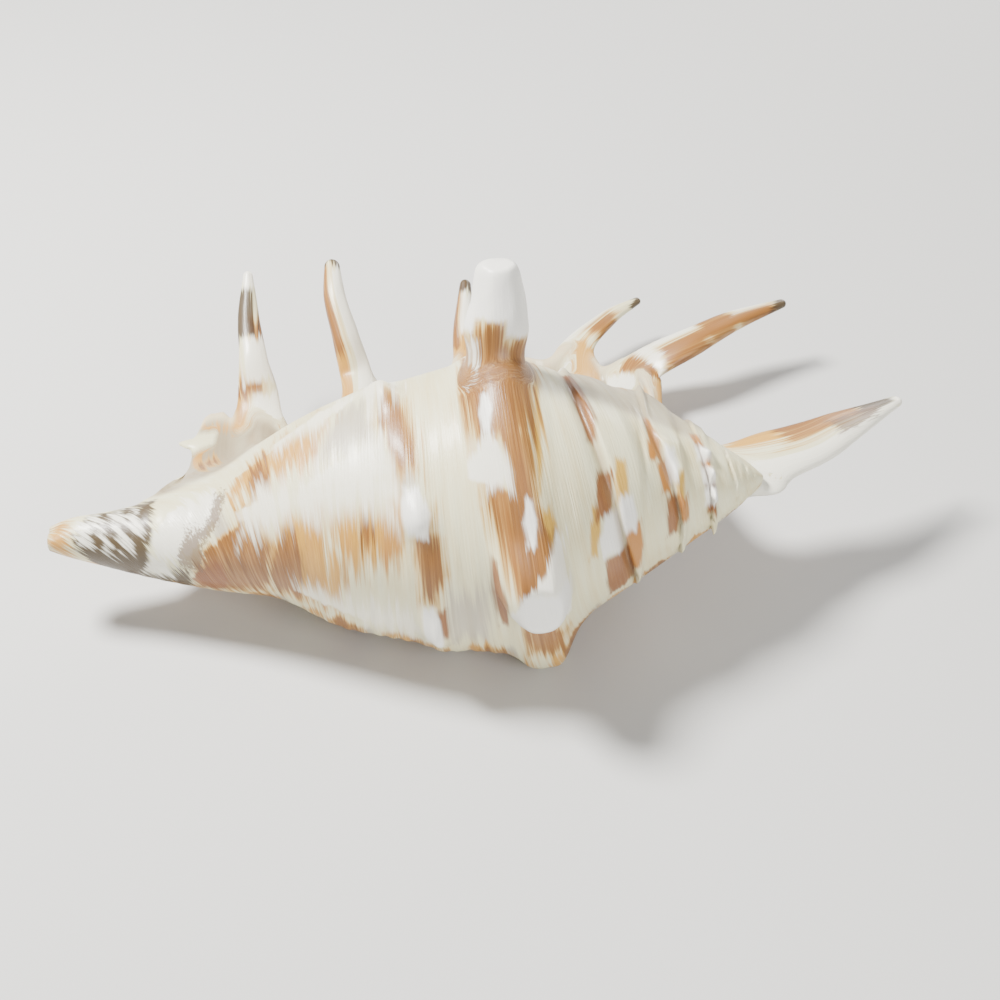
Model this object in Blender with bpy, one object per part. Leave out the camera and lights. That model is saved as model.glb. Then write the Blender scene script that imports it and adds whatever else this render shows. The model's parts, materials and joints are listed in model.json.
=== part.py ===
# Spider conch shell, one solid, lying with its aperture down.
# The coiling axis runs along X: the siphonal canal points to -X and the apex to +X.
# The flared outer lip with its horns reaches to +Y. Lengths are in mm until the mesh is made.
import bpy
import numpy as np

mm = 0.001

# place of the axis, and the two ends of the coiled body
apexX, canalTipX = 53.0, -91.0
axisStations, axisHeights = [-91, -75, -60, -40, 0, 53], [20.5, 19.0, 19.5, 23.0, 26.0, 29.5]
# the middle of the finished shell, which becomes the origin
middleX, middleY = -1.78, 25.33

# radius of the body along the axis, on its near side
bodyStations = [-91, -88, -80, -70, -60, -50, -40, -30, -20, -10, 0, 9, 13, 20, 28, 36, 44, 48, 51, 53]
bodyRadii = [3.0, 3.9, 5.6, 8.2, 10.9, 14.0, 17.6, 21.2, 24.6, 27.2, 28.6, 28.6, 27.0, 22.6, 17.8, 12.9,
             8.0, 5.2, 2.6, 0.6]
# how far the top, the underside and the far side depart from that radius
topShare = ([-91, -80, -70, -60, -45, -30, -15, 0, 13, 30, 53],
            [1, 0.96, 0.92, 0.89, 0.89, 0.88, 0.89, 0.92, 0.95, 1, 1])
lowShare = ([-91, -60, -40, -20, 0, 10, 20, 30, 53], [1.05, 1.08, 1.05, 0.95, 0.92, 0.86, 0.95, 1, 1])
farShare = ([-91, -60, -40, 0, 13, 30, 53], [1, 0.9, 0.85, 0.84, 0.88, 0.95, 1])
whorlGrowth = 1.5

# distance of the suture from the apex, by the degrees that the shell has turned
sutureTurns = [-1080, -687, -327, -287, -100, 13, 44, 88, 250, 366, 407, 426, 457, 600, 694,
               732, 762, 792, 826]
sutureDistances = [2.2, 3.9, 6.5, 7.8, 10.5, 11.9, 12.4, 14.1, 17.0, 18.3, 20.3, 22.1, 25.0, 26.0, 26.9,
                   30.2, 32.7, 36.2, 39.9]

# the broad shoulder ridge, by angle: its middle along the axis, and the height of its knobs
ridgeAngles, ridgeMiddles = [40, 75, 90, 125, 155, 174, 200, 240], [-3, -1.5, -0.5, 1.2, 4.1, 6.1, 8.0, 9.5]
ridgeHalfWidth, ridgeHeight = 6.6, 2.4
ridgeKnobs = [(180, 14, 4.8), (230, 16, 3.2), (90, 22, 2.0)]
# the thinner cord in front of it
cordAngles = [50, 80, 107, 124, 142, 162, 194, 230]
cordMiddles = [-26, -22.9, -20.1, -17.9, -16.8, -15.4, -13.6, -12]
cordHalfWidth, cordHeight = 3.6, 0.8
cordKnobs = [(78, 9, 2.6), (142, 9, 2.0), (200, 10, 2.4)]

# outer lip: edge by rows along the axis, all in mm
lipRows = [-91, -75, -72, -70, -67, -64, -60, -56, -51, -44, -34, -26, -14, -3, 6, 14, 22, 28, 34,
           39, 43, 47, 53]
lipReach = [0, 0, 0.5, 1, 1, 1, 1, 1, 1, 1, 1, 1, 1, 1, 1, 1, 1, 1, 1, 1, 0.75, 0, 0]
lipX = [-91, -75, -70.5, -69.5, -68, -66, -61.5, -57, -51.5, -43, -34, -26, -14, -3, 7, 14, 23, 30.5, 35,
        38, 43, 47, 53]
lipY = [0, 0, 8, 17, 26, 33, 36.5, 36, 33, 31, 35, 40, 48, 56, 62.5, 64, 63, 58, 49, 36, 22, 0, 0]
lipZ = [0, 0, 15, 16, 17, 18.5, 19, 18, 17, 17, 18, 18, 17, 15, 12.5, 11, 9.5, 9, 10.5, 15, 21, 0, 0]
# direction in which the lip runs inwards from its edge, in degrees from +Y
lipInward = ([-91, -75, -71, -66, -50, -20, 10, 35, 42, 47, 53],
             [55, 55, 120, 190, 200, 205, 200, 200, 170, 55, 55])
lipShoulder = ([-91, -70, -55, -25, -10, 5, 53], [0.42, 0.40, 0.27, 0.28, 0.33, 0.40, 0.42])
# row, half width and offset of each place where the edge is drawn out into a horn
lipPeaks = [(-50, 5.4, (-1.0, 6.0, 3.4)), (-28, 5.5, (-1.5, 8.0, 4.0)), (-4, 5.5, (-0.2, 8.6, 0.4)),
            (18, 4.6, (3.4, 6.4, 0.6)), (30, 5.6, (3.8, 4.2, 2.5))]

# thickness of the lip's edge, of the body's wall, and of the callus along the inside of the lip
edgeThickness = ([-91, -75, -70, -60, 0, 40, 53], [0.9, 1.4, 2.2, 2.6, 3.0, 3.0, 1.0])
wallThickness = ([-91, -80, -60, 0, 30, 53], [1.0, 1.6, 2.4, 3.4, 3.0, 1.0])
callusThickness = ([-91, -72, -60, -48, -35, 0, 16, 26, 34, 42, 53],
                   [0, 0, 2, 5, 5, 5, 7.5, 11.5, 10, 3.5, 0])
# the cavity: how far it is open, how thick the columella is, and how many degrees it turns inwards
cavityOpen = ([-91, -80, 28, 37, 45, 53], [1, 1, 1, 0.7, 0, 0])
columellaShare = ([-91, -70, -40, 0, 20, 40, 53], [0.12, 0.2, 0.42, 0.46, 0.48, 0.5, 0.5])
cavityTurn = ([-91, -60, -20, 20, 36, 53], [60, 75, 90, 85, 50, 10])
edgeAngle, joinAngle, columellaAngle = -35.0, 66.0, 285.0

# points round one section: lip, body, columella, inside of the wall, underside of the lip, its edge
sectionPoints = dict(lip=9, body=25, columella=8, wall=7, under=8, edge=2)
hornSides, hornRings = 8, 9


def through(x, stations, values):
    """Smooth curve through the stations, with no overshoot between them."""
    xs, ys = np.asarray(stations, float), np.asarray(values, float)
    gap = np.diff(xs)
    rise = np.diff(ys) / gap
    slope = np.zeros_like(ys)
    slope[0], slope[-1] = rise[0], rise[-1]
    both = rise[:-1] * rise[1:] > 0
    slope[1:-1][both] = 2 * rise[:-1][both] * rise[1:][both] / (rise[:-1][both] + rise[1:][both])
    x = np.clip(x, xs[0], xs[-1])
    i = np.clip(np.searchsorted(xs, x, side="right") - 1, 0, len(xs) - 2)
    t = (x - xs[i]) / gap[i]
    return ((1 + 2 * t) * (1 - t) ** 2 * ys[i] + t * (1 - t) ** 2 * gap[i] * slope[i]
            + t * t * (3 - 2 * t) * ys[i + 1] + t * t * (t - 1) * gap[i] * slope[i + 1])


def ease(x, low, high):
    t = np.clip((x - low) / (high - low), 0, 1)
    return t * t * (3 - 2 * t)


def bump(x, middle, halfWidth):
    return np.exp(-((x - middle) / halfWidth) ** 2)


def awayFrom(angle, middle):
    return (angle - middle + 180.0) % 360.0 - 180.0


def unit(v):
    return v / (np.linalg.norm(v, axis=-1, keepdims=True) + 1e-12)


def whorlRelief(x, angle):
    """Height of the keel just behind each suture, and the groove of the suture itself."""
    turnAtDistance = np.interp(apexX - x, sutureDistances, sutureTurns)
    phase = ((turnAtDistance - (182.0 - angle)) / 360.0) % 1.0
    size = np.clip((apexX - x) / 30.0, 0, 1)
    keel = 1.1 * bump(phase, 0.84, 0.10) - 0.9 * bump(np.minimum(phase, 1 - phase), 0, 0.05)
    return keel * size * ease(x, 8, 16)


def bodyRadius(x, angle):
    """Radius about the axis at x and at an angle: 0 far side, 90 top, 180 near side, 270 underneath."""
    growth = 1 + (whorlGrowth ** (awayFrom(190.0, angle) / 360.0) - 1) * ease(x, -70, -30)
    base = through(apexX - (apexX - x) / growth, bodyStations, bodyRadii) * (1 + (growth - 1) * 0.6)
    c, s = np.cos(np.radians(angle)), np.sin(np.radians(angle))
    share = s * s * np.where(s > 0, through(x, *topShare), through(x, *lowShare))
    share = share + c * c * np.where(c > 0, through(x, *farShare), 1.0)
    belly = 3.6 * bump(awayFrom(angle, 225), 0, 30) * ease(x, -48, -30) * (1 - ease(x, 10, 18))
    rest = 8.8 * bump(awayFrom(angle, 283), 0, 36) * bump(x, -33, 14)
    onTop = awayFrom(angle, 140.0)
    shown = ease(onTop, -110, -70) * (1 - ease(onTop, 90, 130))
    ridge = ridgeHeight + sum(h * bump(awayFrom(angle, a), 0, w) for a, w, h in ridgeKnobs)
    cord = cordHeight + sum(h * bump(awayFrom(angle, a), 0, w) for a, w, h in cordKnobs)
    around = np.mod(angle, 360.0)
    ridge = ridge * bump(x, through(around, ridgeAngles, ridgeMiddles), ridgeHalfWidth)
    cord = cord * bump(x, through(around, cordAngles, cordMiddles), cordHalfWidth)
    return base * share + belly + rest + (ridge + cord) * shown + whorlRelief(x, angle)


def onBody(x, angle, radius):
    a = np.radians(angle)
    height = through(x, axisStations, axisHeights)
    return np.stack([x + 0 * radius, radius * np.cos(a), height + radius * np.sin(a)], -1)


def lipCurve(x, t):
    """Outer face of the lip, a cubic curve: t is 0 at its edge and 1 where it joins the body."""
    edge = np.stack([through(x, lipRows, v) for v in (lipX, lipY, lipZ)], -1)
    for row, halfWidth, offset in lipPeaks:
        edge = edge + bump(x, row, halfWidth)[..., None] * np.array(offset)
    closed = onBody(x, edgeAngle + 0 * x, bodyRadius(x, edgeAngle + 0 * x))
    edge = closed + (edge - closed) * through(x, lipRows, lipReach)[..., None]
    joinAngles = [joinAngle + a + 0 * x for a in (0, 4, -4)]
    join, before, after = [onBody(x, angle, bodyRadius(x, angle)) for angle in joinAngles]
    reach = np.linalg.norm(edge - join, axis=-1, keepdims=True)
    a = np.radians(through(x, *lipInward))
    inward = np.stack([0.25 * (join - edge)[..., 0] / reach[..., 0], np.cos(a), np.sin(a)], -1)
    p1 = edge + inward * reach * 0.38
    p2 = join + unit(after - before) * reach * through(x, *lipShoulder)[..., None]
    t = t[..., None]
    return (1 - t) ** 3 * edge + 3 * (1 - t) ** 2 * t * p1 + 3 * (1 - t) * t * t * p2 + t ** 3 * join


def lipFrame(x, t):
    """Point on the lip's outer face, its normal, its direction towards the body, and the thickness."""
    point = lipCurve(x, t)
    along = unit(lipCurve(x, np.minimum(t + 0.004, 1)) - lipCurve(x, np.maximum(t - 0.004, 0)))
    normal = unit(np.stack([0 * x * t, along[..., 2], -along[..., 1]], -1))
    edge, wall = through(x, *edgeThickness), through(x, *wallThickness)
    thick = edge + (wall - edge) * t + through(x, *callusThickness) * bump(t, 0.36, 0.2)
    return point, normal, along, thick[..., None]


def lipMiddle(x, t):
    point, normal, _, thick = lipFrame(np.array([float(x)]), np.array([float(t)]))
    return (point - normal * thick / 2)[0]


def shellSections(rows, count):
    """Closed sections, one a row: out over the lip, round the body, into the cavity and back."""
    x = np.asarray(rows, float)[:, None]

    def share(n):
        return np.linspace(0, 1, n, endpoint=False)[None, :]

    lip = lipCurve(x, share(count["lip"]) + 0 * x)
    angle = joinAngle + (columellaAngle - joinAngle) * share(count["body"]) + 0 * x
    body = onBody(x, angle, bodyRadius(x, angle))
    opened = through(x, *cavityOpen)
    wall, core = through(x, *wallThickness), through(x, *columellaShare)

    point, normal, _, thick = lipFrame(x, (0.1 + 0.9 * opened) * (1 - share(count["under"])))
    under = point - normal * thick
    startY, startZ = under[:, :1, 1], under[:, :1, 2] - through(x, axisStations, axisHeights)
    startAngle = np.degrees(np.arctan2(startZ, startY)) + 360
    startRadius = np.hypot(startY, startZ)
    deepAngle = startAngle + opened * through(x, *cavityTurn)

    angle = columellaAngle + (deepAngle - columellaAngle) * share(count["columella"])
    whole = bodyRadius(x, np.minimum(angle, 325))
    radius = whole * (1 - (1 - core) * ease(angle, columellaAngle, columellaAngle + 85) * opened)
    deepCore = bodyRadius(x, joinAngle + 0 * x) * core
    middle = (0.5 * (deepCore + bodyRadius(x, deepAngle) - wall) * opened
              + 0.5 * (startRadius + whole[:, -1:]) * (1 - opened))
    rounding = 25 * opened + 1

    def closeIn(r, a, amount):
        u = np.clip(1 - (deepAngle - a) / rounding, 0, 1) * amount
        return r + (middle - r) * (1 - np.sqrt(1 - 0.999 * u * u))

    columella = onBody(x, angle, closeIn(radius, angle, opened))

    s = share(count["wall"])
    angle = deepAngle + (startAngle - deepAngle) * s
    radius = (bodyRadius(x, angle) - wall) * opened + (middle + (startRadius - middle) * s) * (1 - opened)
    radius = radius + (startRadius - radius) * ease(s, 0.6, 1.0)
    inside = onBody(x, angle, closeIn(radius, angle, opened))

    point, normal, along, thick = lipFrame(x, 0 * x)
    a = (np.pi * np.arange(count["edge"] + 1) / (count["edge"] + 1))[None, :, None]
    edge = point - thick / 2 * (normal * (1 + np.cos(a)) + along * np.sin(a))

    # towards the apex the opening closes, and the section becomes a plain ring
    hollow = np.concatenate([columella, inside, under, edge], 1)
    angle = columellaAngle + (360 + edgeAngle - columellaAngle) * share(hollow.shape[1]) + 0 * x
    ring = onBody(x, angle, bodyRadius(x, angle))
    hollow = hollow + (ring - hollow) * ease(x, 42.5, 46.0)[..., None]
    return np.concatenate([lip, body, hollow], 1)


def hornRingsAlong(path, wide, thin, up=(0, 0, 1)):
    """Oval rings along a smooth path through the points, closing to a round tip."""
    path = np.asarray(path, float)
    steps = np.linalg.norm(np.diff(path, axis=0), axis=1)
    stations = np.concatenate([[0], np.cumsum(steps)]) / steps.sum()
    tip = max(wide[-1], thin[-1]) / steps.sum()
    s = np.concatenate([np.linspace(0, 1 - tip, hornRings), 1 - tip * (1 - np.sin(np.radians([35, 75])))])
    points = np.stack([through(s, stations, path[:, i]) for i in range(3)], -1)
    ahead = unit(np.gradient(points, s, axis=0))
    side = unit(np.cross(ahead, np.asarray(up, float)))
    over = np.cross(side, ahead)
    cap = np.sqrt(1 - np.clip((s - 1 + tip) / tip, 0, 1) ** 2)[:, None, None]
    a = np.linspace(0, 2 * np.pi, hornSides, endpoint=False)[None, :, None]
    w, h = through(s, stations, wide)[:, None, None], through(s, stations, thin)[:, None, None]
    return points[:, None] + cap * (side[:, None] * w * np.cos(a) + over[:, None] * h * np.sin(a))


def lipHorn(row, points, wide, thin):
    """A horn that grows out of the middle of the lip's edge at one row."""
    return hornRingsAlong([lipMiddle(row, 0.30), lipMiddle(row, 0.0)] + points, wide, thin)


def closedMesh(name, rings):
    """Mesh of rings joined in order, with a face over each end, turned to face outwards."""
    n, m = rings.shape[:2]
    verts = rings.reshape(-1, 3) - np.array([middleX, middleY, 0.0])
    verts[:, 2] = np.maximum(verts[:, 2], 0.0)
    i, j = np.meshgrid(np.arange(n - 1), np.arange(m), indexing="ij")
    a, b = i * m + j, i * m + (j + 1) % m
    quads = np.stack([a, b, b + m, a + m], -1).reshape(-1, 4)
    p = [verts[quads[:, k]] for k in range(4)]
    volumes = [np.einsum("ij,ij->", p[0], np.cross(p[k], p[k + 1])) for k in (1, 2)]
    outwards = volumes[0] + volumes[1] > 0
    faces = quads.tolist() + [list(range(m))[::-1], list(range((n - 1) * m, n * m))]
    if not outwards:
        faces = [face[::-1] for face in faces]
    mesh = bpy.data.meshes.new(name)
    mesh.from_pydata((verts * mm).tolist(), [], faces)
    mesh.shade_smooth()
    mesh.update()
    return mesh


def shellMaterial():
    material = bpy.data.materials.new("shell")
    material.use_nodes = True
    surface = material.node_tree.nodes["Principled BSDF"]
    surface.inputs["Base Color"].default_value = (0.72, 0.58, 0.42, 1.0)
    surface.inputs["Roughness"].default_value = 0.35
    surface.inputs["Metallic"].default_value = 0.0
    return material


def clearScene():
    for item in list(bpy.data.objects):
        bpy.data.objects.remove(item, do_unlink=True)


def newCollection(name):
    collection = bpy.data.collections.new(name)
    bpy.context.scene.collection.children.link(collection)
    return collection


horns = {
    "horn_one": lipHorn(-50, [(-52.6, 49, 26), (-53.8, 60, 31), (-53.9, 68.5, 36)],
                        [2, 4.6, 3.0, 2.2, 0.9], [0.8, 1.7, 2, 1.5, 0.8]),
    "horn_two": lipHorn(-28, [(-32, 54.5, 27), (-34.5, 64, 33), (-35, 72, 36)],
                        [2.5, 4.4, 3.1, 2.4, 1.6], [0.8, 2.1, 2.4, 2, 1.4]),
    "horn_three": lipHorn(-4, [(-5, 71, 15.5), (-4.5, 78, 17.5), (-4, 85.3, 20)],
                          [2.5, 4.2, 2.6, 2.0, 1.2], [0.8, 2.1, 2.1, 1.7, 1.0]),
    "horn_four": lipHorn(18, [(26.8, 75.5, 11), (32.5, 81.5, 11.4), (39.3, 86.6, 11.6)],
                         [2.5, 4.6, 2.9, 2.1, 0.9], [0.8, 2.1, 1.8, 1.4, 0.8]),
    "horn_five": lipHorn(29.5, [(47, 64.5, 14), (60, 71, 16), (73.3, 76.3, 17)],
                         [3, 5.4, 4.0, 2.9, 1.1], [0.8, 2.6, 2.3, 1.8, 0.9]),
    "horn_six": hornRingsAlong([(38, 7, 24), (46, 7.5, 25), (54, 8.2, 26.4), (61, 9.6, 27.4),
                                (73, 16.2, 28.4), (87.3, 25, 28)],
                               [4, 7.6, 8.4, 7.6, 4.6, 1.2], [2, 4.4, 3.2, 2.6, 1.8, 0.8]),
    "apex_flange": hornRingsAlong([(43, 3, 26), (50, 1.6, 26.5), (55, 1.2, 26.6), (58.5, 0.8, 26.6)],
                                  [2, 3.4, 3.4, 2.0], [2, 2.6, 1.8, 0.9]),
    "shoulder_horn": hornRingsAlong([(-1, -2, 45), (-0.8, 2, 54), (-0.6, 6, 62), (-0.6, 9.5, 69),
                                     (-0.6, 12.7, 75.4)],
                                    [9, 7.2, 5.2, 4.6, 4.1], [9, 7.5, 5.5, 4.6, 3.7], up=(0, 1, 0)),
}
rows = np.concatenate([np.arange(canalTipX, -38, 2.65), np.arange(-38, 12, 2.5), np.arange(12, 44, 1.5),
                       np.linspace(44, apexX, 7)])

clearScene()
parts, workPieces = newCollection("spider conch shell"), newCollection("pieces joined to the shell")
shell = bpy.data.objects.new("spider_conch_shell", closedMesh("shell", shellSections(rows, sectionPoints)))
shell.data.materials.append(shellMaterial())
parts.objects.link(shell)
for name, rings in horns.items():
    horn = bpy.data.objects.new(name, closedMesh(name, rings))
    horn.hide_render, horn.display_type = True, "WIRE"
    workPieces.objects.link(horn)
    union = shell.modifiers.new("join " + name, "BOOLEAN")
    union.operation, union.solver, union.object = "UNION", "EXACT", horn
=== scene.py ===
import json

import bpy
import numpy as np
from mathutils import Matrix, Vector

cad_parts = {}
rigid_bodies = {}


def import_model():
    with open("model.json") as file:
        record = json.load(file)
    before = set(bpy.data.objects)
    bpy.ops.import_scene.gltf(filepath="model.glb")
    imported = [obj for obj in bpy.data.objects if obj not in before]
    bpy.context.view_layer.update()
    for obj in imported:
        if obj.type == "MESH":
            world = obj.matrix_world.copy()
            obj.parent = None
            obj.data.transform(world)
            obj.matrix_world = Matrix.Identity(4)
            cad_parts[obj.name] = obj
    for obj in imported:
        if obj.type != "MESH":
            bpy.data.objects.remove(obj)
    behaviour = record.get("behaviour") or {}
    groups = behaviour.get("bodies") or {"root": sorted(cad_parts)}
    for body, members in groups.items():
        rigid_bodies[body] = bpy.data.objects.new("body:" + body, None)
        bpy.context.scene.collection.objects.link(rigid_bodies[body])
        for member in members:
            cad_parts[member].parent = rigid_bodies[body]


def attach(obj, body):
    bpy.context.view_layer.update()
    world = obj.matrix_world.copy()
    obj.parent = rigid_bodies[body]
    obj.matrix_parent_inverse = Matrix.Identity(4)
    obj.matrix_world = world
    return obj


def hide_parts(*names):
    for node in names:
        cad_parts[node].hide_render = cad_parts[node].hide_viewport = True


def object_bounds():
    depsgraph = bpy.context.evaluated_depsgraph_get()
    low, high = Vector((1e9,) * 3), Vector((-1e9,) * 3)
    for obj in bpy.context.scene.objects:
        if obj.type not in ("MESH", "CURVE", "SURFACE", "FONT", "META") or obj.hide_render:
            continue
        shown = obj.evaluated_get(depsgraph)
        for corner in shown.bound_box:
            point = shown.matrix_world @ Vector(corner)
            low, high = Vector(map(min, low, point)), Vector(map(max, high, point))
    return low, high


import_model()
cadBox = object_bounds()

# Shapes are worked out in mm about the coiling axis, which runs along X with the apex at +X.
# Angles go round that axis in degrees: 0 is the lip side, 90 the top, 180 the near side, 270 underneath.
mm = 0.001
shellMiddle = np.array([-1.78, 25.33, 0.0])   # moves to the origin when the mesh is made


studio = dict(
    # camera: what it looks at and how far off, in mm; its angles in degrees; its clipping in metres
    target=(0, 0, 26), azimuth=-3.0, elevation=43.0, distance=320.0, fieldOfView=35.0,
    sensorWidth=36.0, clip=(0.01, 20.0),
    # floor size in metres
    floorColor=(0.60, 0.60, 0.59), floorRoughness=0.9, floorSize=3.0,
    worldColor=(0.87, 0.88, 0.90), worldStrength=0.24,
    # name, place in mm, size in mm, power in watts, colour
    lamps=[("keyLight", (-300, 120, 520), 170, 13.0, (1.0, 0.98, 0.94)),
           ("fillLight", (260, -460, 300), 420, 3.2, (0.98, 0.97, 0.96)),
           ("rimLight", (260, 460, 220), 240, 1.5, (1.0, 0.98, 0.95))])


# place in the scene, in metres, of a point in mm: (point - shellMiddle) * mm
def placeInScene(point):
    return Vector((np.asarray(point, float) - shellMiddle) * mm)


# camera at target + distance (sin a cos e, -cos a cos e, sin e); lens = half sensor / tan(half the view)
def makeCamera():
    a, e = np.radians(studio["azimuth"]), np.radians(studio["elevation"])
    back = Vector((np.sin(a) * np.cos(e), -np.cos(a) * np.cos(e), np.sin(e)))
    data = bpy.data.cameras.new("camera")
    data.sensor_width = studio["sensorWidth"]
    data.lens = studio["sensorWidth"] / 2 / np.tan(np.radians(studio["fieldOfView"] / 2))
    data.clip_start, data.clip_end = studio["clip"]
    camera = bpy.data.objects.new("camera", data)
    camera.location = placeInScene(studio["target"]) + back * studio["distance"] * mm
    camera.rotation_euler = back.to_track_quat("Z", "Y").to_euler()
    bpy.context.scene.collection.objects.link(camera)
    bpy.context.scene.camera = camera


# round lamp at its place, its -Z axis along target - place
def makeLamp(name, place, size, power, color):
    data = bpy.data.lights.new(name, "AREA")
    data.shape, data.size, data.energy, data.color = "DISK", size * mm, power, color
    lamp = bpy.data.objects.new(name, data)
    lamp.location = placeInScene(place)
    back = lamp.location - placeInScene(studio["target"])
    lamp.rotation_euler = back.to_track_quat("Z", "Y").to_euler()
    bpy.context.scene.collection.objects.link(lamp)


# square floor at z = 0, its corners at (+-half, +-half)
def makeFloor():
    half = studio["floorSize"] / 2
    corners = [(-half, -half, 0), (half, -half, 0), (half, half, 0), (-half, half, 0)]
    mesh = bpy.data.meshes.new("floor")
    mesh.from_pydata(corners, [], [(0, 1, 2, 3)])
    floor = bpy.data.objects.new("floor", mesh)
    material = bpy.data.materials.new("floorPaper")
    material.use_nodes = True
    surface = material.node_tree.nodes["Principled BSDF"]
    surface.inputs["Base Color"].default_value = (*studio["floorColor"], 1)
    surface.inputs["Roughness"].default_value = studio["floorRoughness"]
    mesh.materials.append(material)
    bpy.context.scene.collection.objects.link(floor)


# even light from all round: colour times strength
def makeWorld():
    world = bpy.data.worlds.new("softBox")
    world.use_nodes = True
    background = world.node_tree.nodes["Background"]
    background.inputs["Color"].default_value = (*studio["worldColor"], 1)
    background.inputs["Strength"].default_value = studio["worldStrength"]
    bpy.context.scene.world = world


makeCamera()
makeFloor()
makeWorld()
for lamp in studio["lamps"]:
    makeLamp(*lamp)
print("camera, floor and light made")


# smooth monotone curve through the stations: cubic Hermite pieces with harmonic-mean slopes
def through(x, stations, values):
    xs, ys = np.asarray(stations, float), np.asarray(values, float)
    gap = np.diff(xs)
    rise = np.diff(ys) / gap
    slope = np.zeros_like(ys)
    slope[0], slope[-1] = rise[0], rise[-1]
    both = rise[:-1] * rise[1:] > 0
    slope[1:-1][both] = 2 * rise[:-1][both] * rise[1:][both] / (rise[:-1][both] + rise[1:][both])
    x = np.clip(x, xs[0], xs[-1])
    i = np.clip(np.searchsorted(xs, x, side="right") - 1, 0, len(xs) - 2)
    t = (x - xs[i]) / gap[i]
    return ((1 + 2 * t) * (1 - t) ** 2 * ys[i] + t * (1 - t) ** 2 * gap[i] * slope[i]
            + t * t * (3 - 2 * t) * ys[i + 1] + t * t * (t - 1) * gap[i] * slope[i + 1])


# 0 below low, 1 above high, 3t^2 - 2t^3 between
def ease(x, low, high):
    t = np.clip((x - low) / (high - low), 0, 1)
    return t * t * (3 - 2 * t)


# 0, then 1 between a rise and a fall that are (start, end) pairs, then 0: ease up times (1 - ease down)
def between(x, rise, fall):
    return ease(x, *rise) * (1 - ease(x, *fall))


# bell curve exp(-((x - middle) / halfWidth)^2)
def bump(x, middle, halfWidth):
    return np.exp(-((x - middle) / halfWidth) ** 2)


# angle measured from middle, between -180 and 180: (angle - middle + 180) mod 360, less 180
def awayFrom(angle, middle):
    return (angle - middle + 180.0) % 360.0 - 180.0


# direction of a vector: v / |v|
def unit(v):
    return v / (np.linalg.norm(v, axis=-1, keepdims=True) + 1e-12)


# smooth waves that never repeat: three sines whose phases lean on each other, between -1 and 1
def ripple(u, v, seed):
    a = np.sin(1.00 * u + 0.70 * np.sin(0.61 * v + seed) + seed)
    b = np.sin(1.73 * u - 0.80 * np.sin(0.83 * v + 2.1 * seed) + 2.7 * seed)
    c = np.sin(2.61 * u + 0.90 * np.sin(1.17 * v + 0.7 * seed) + 4.1 * seed)
    return (a + 0.7 * b + 0.5 * c) / 2.2


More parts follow.
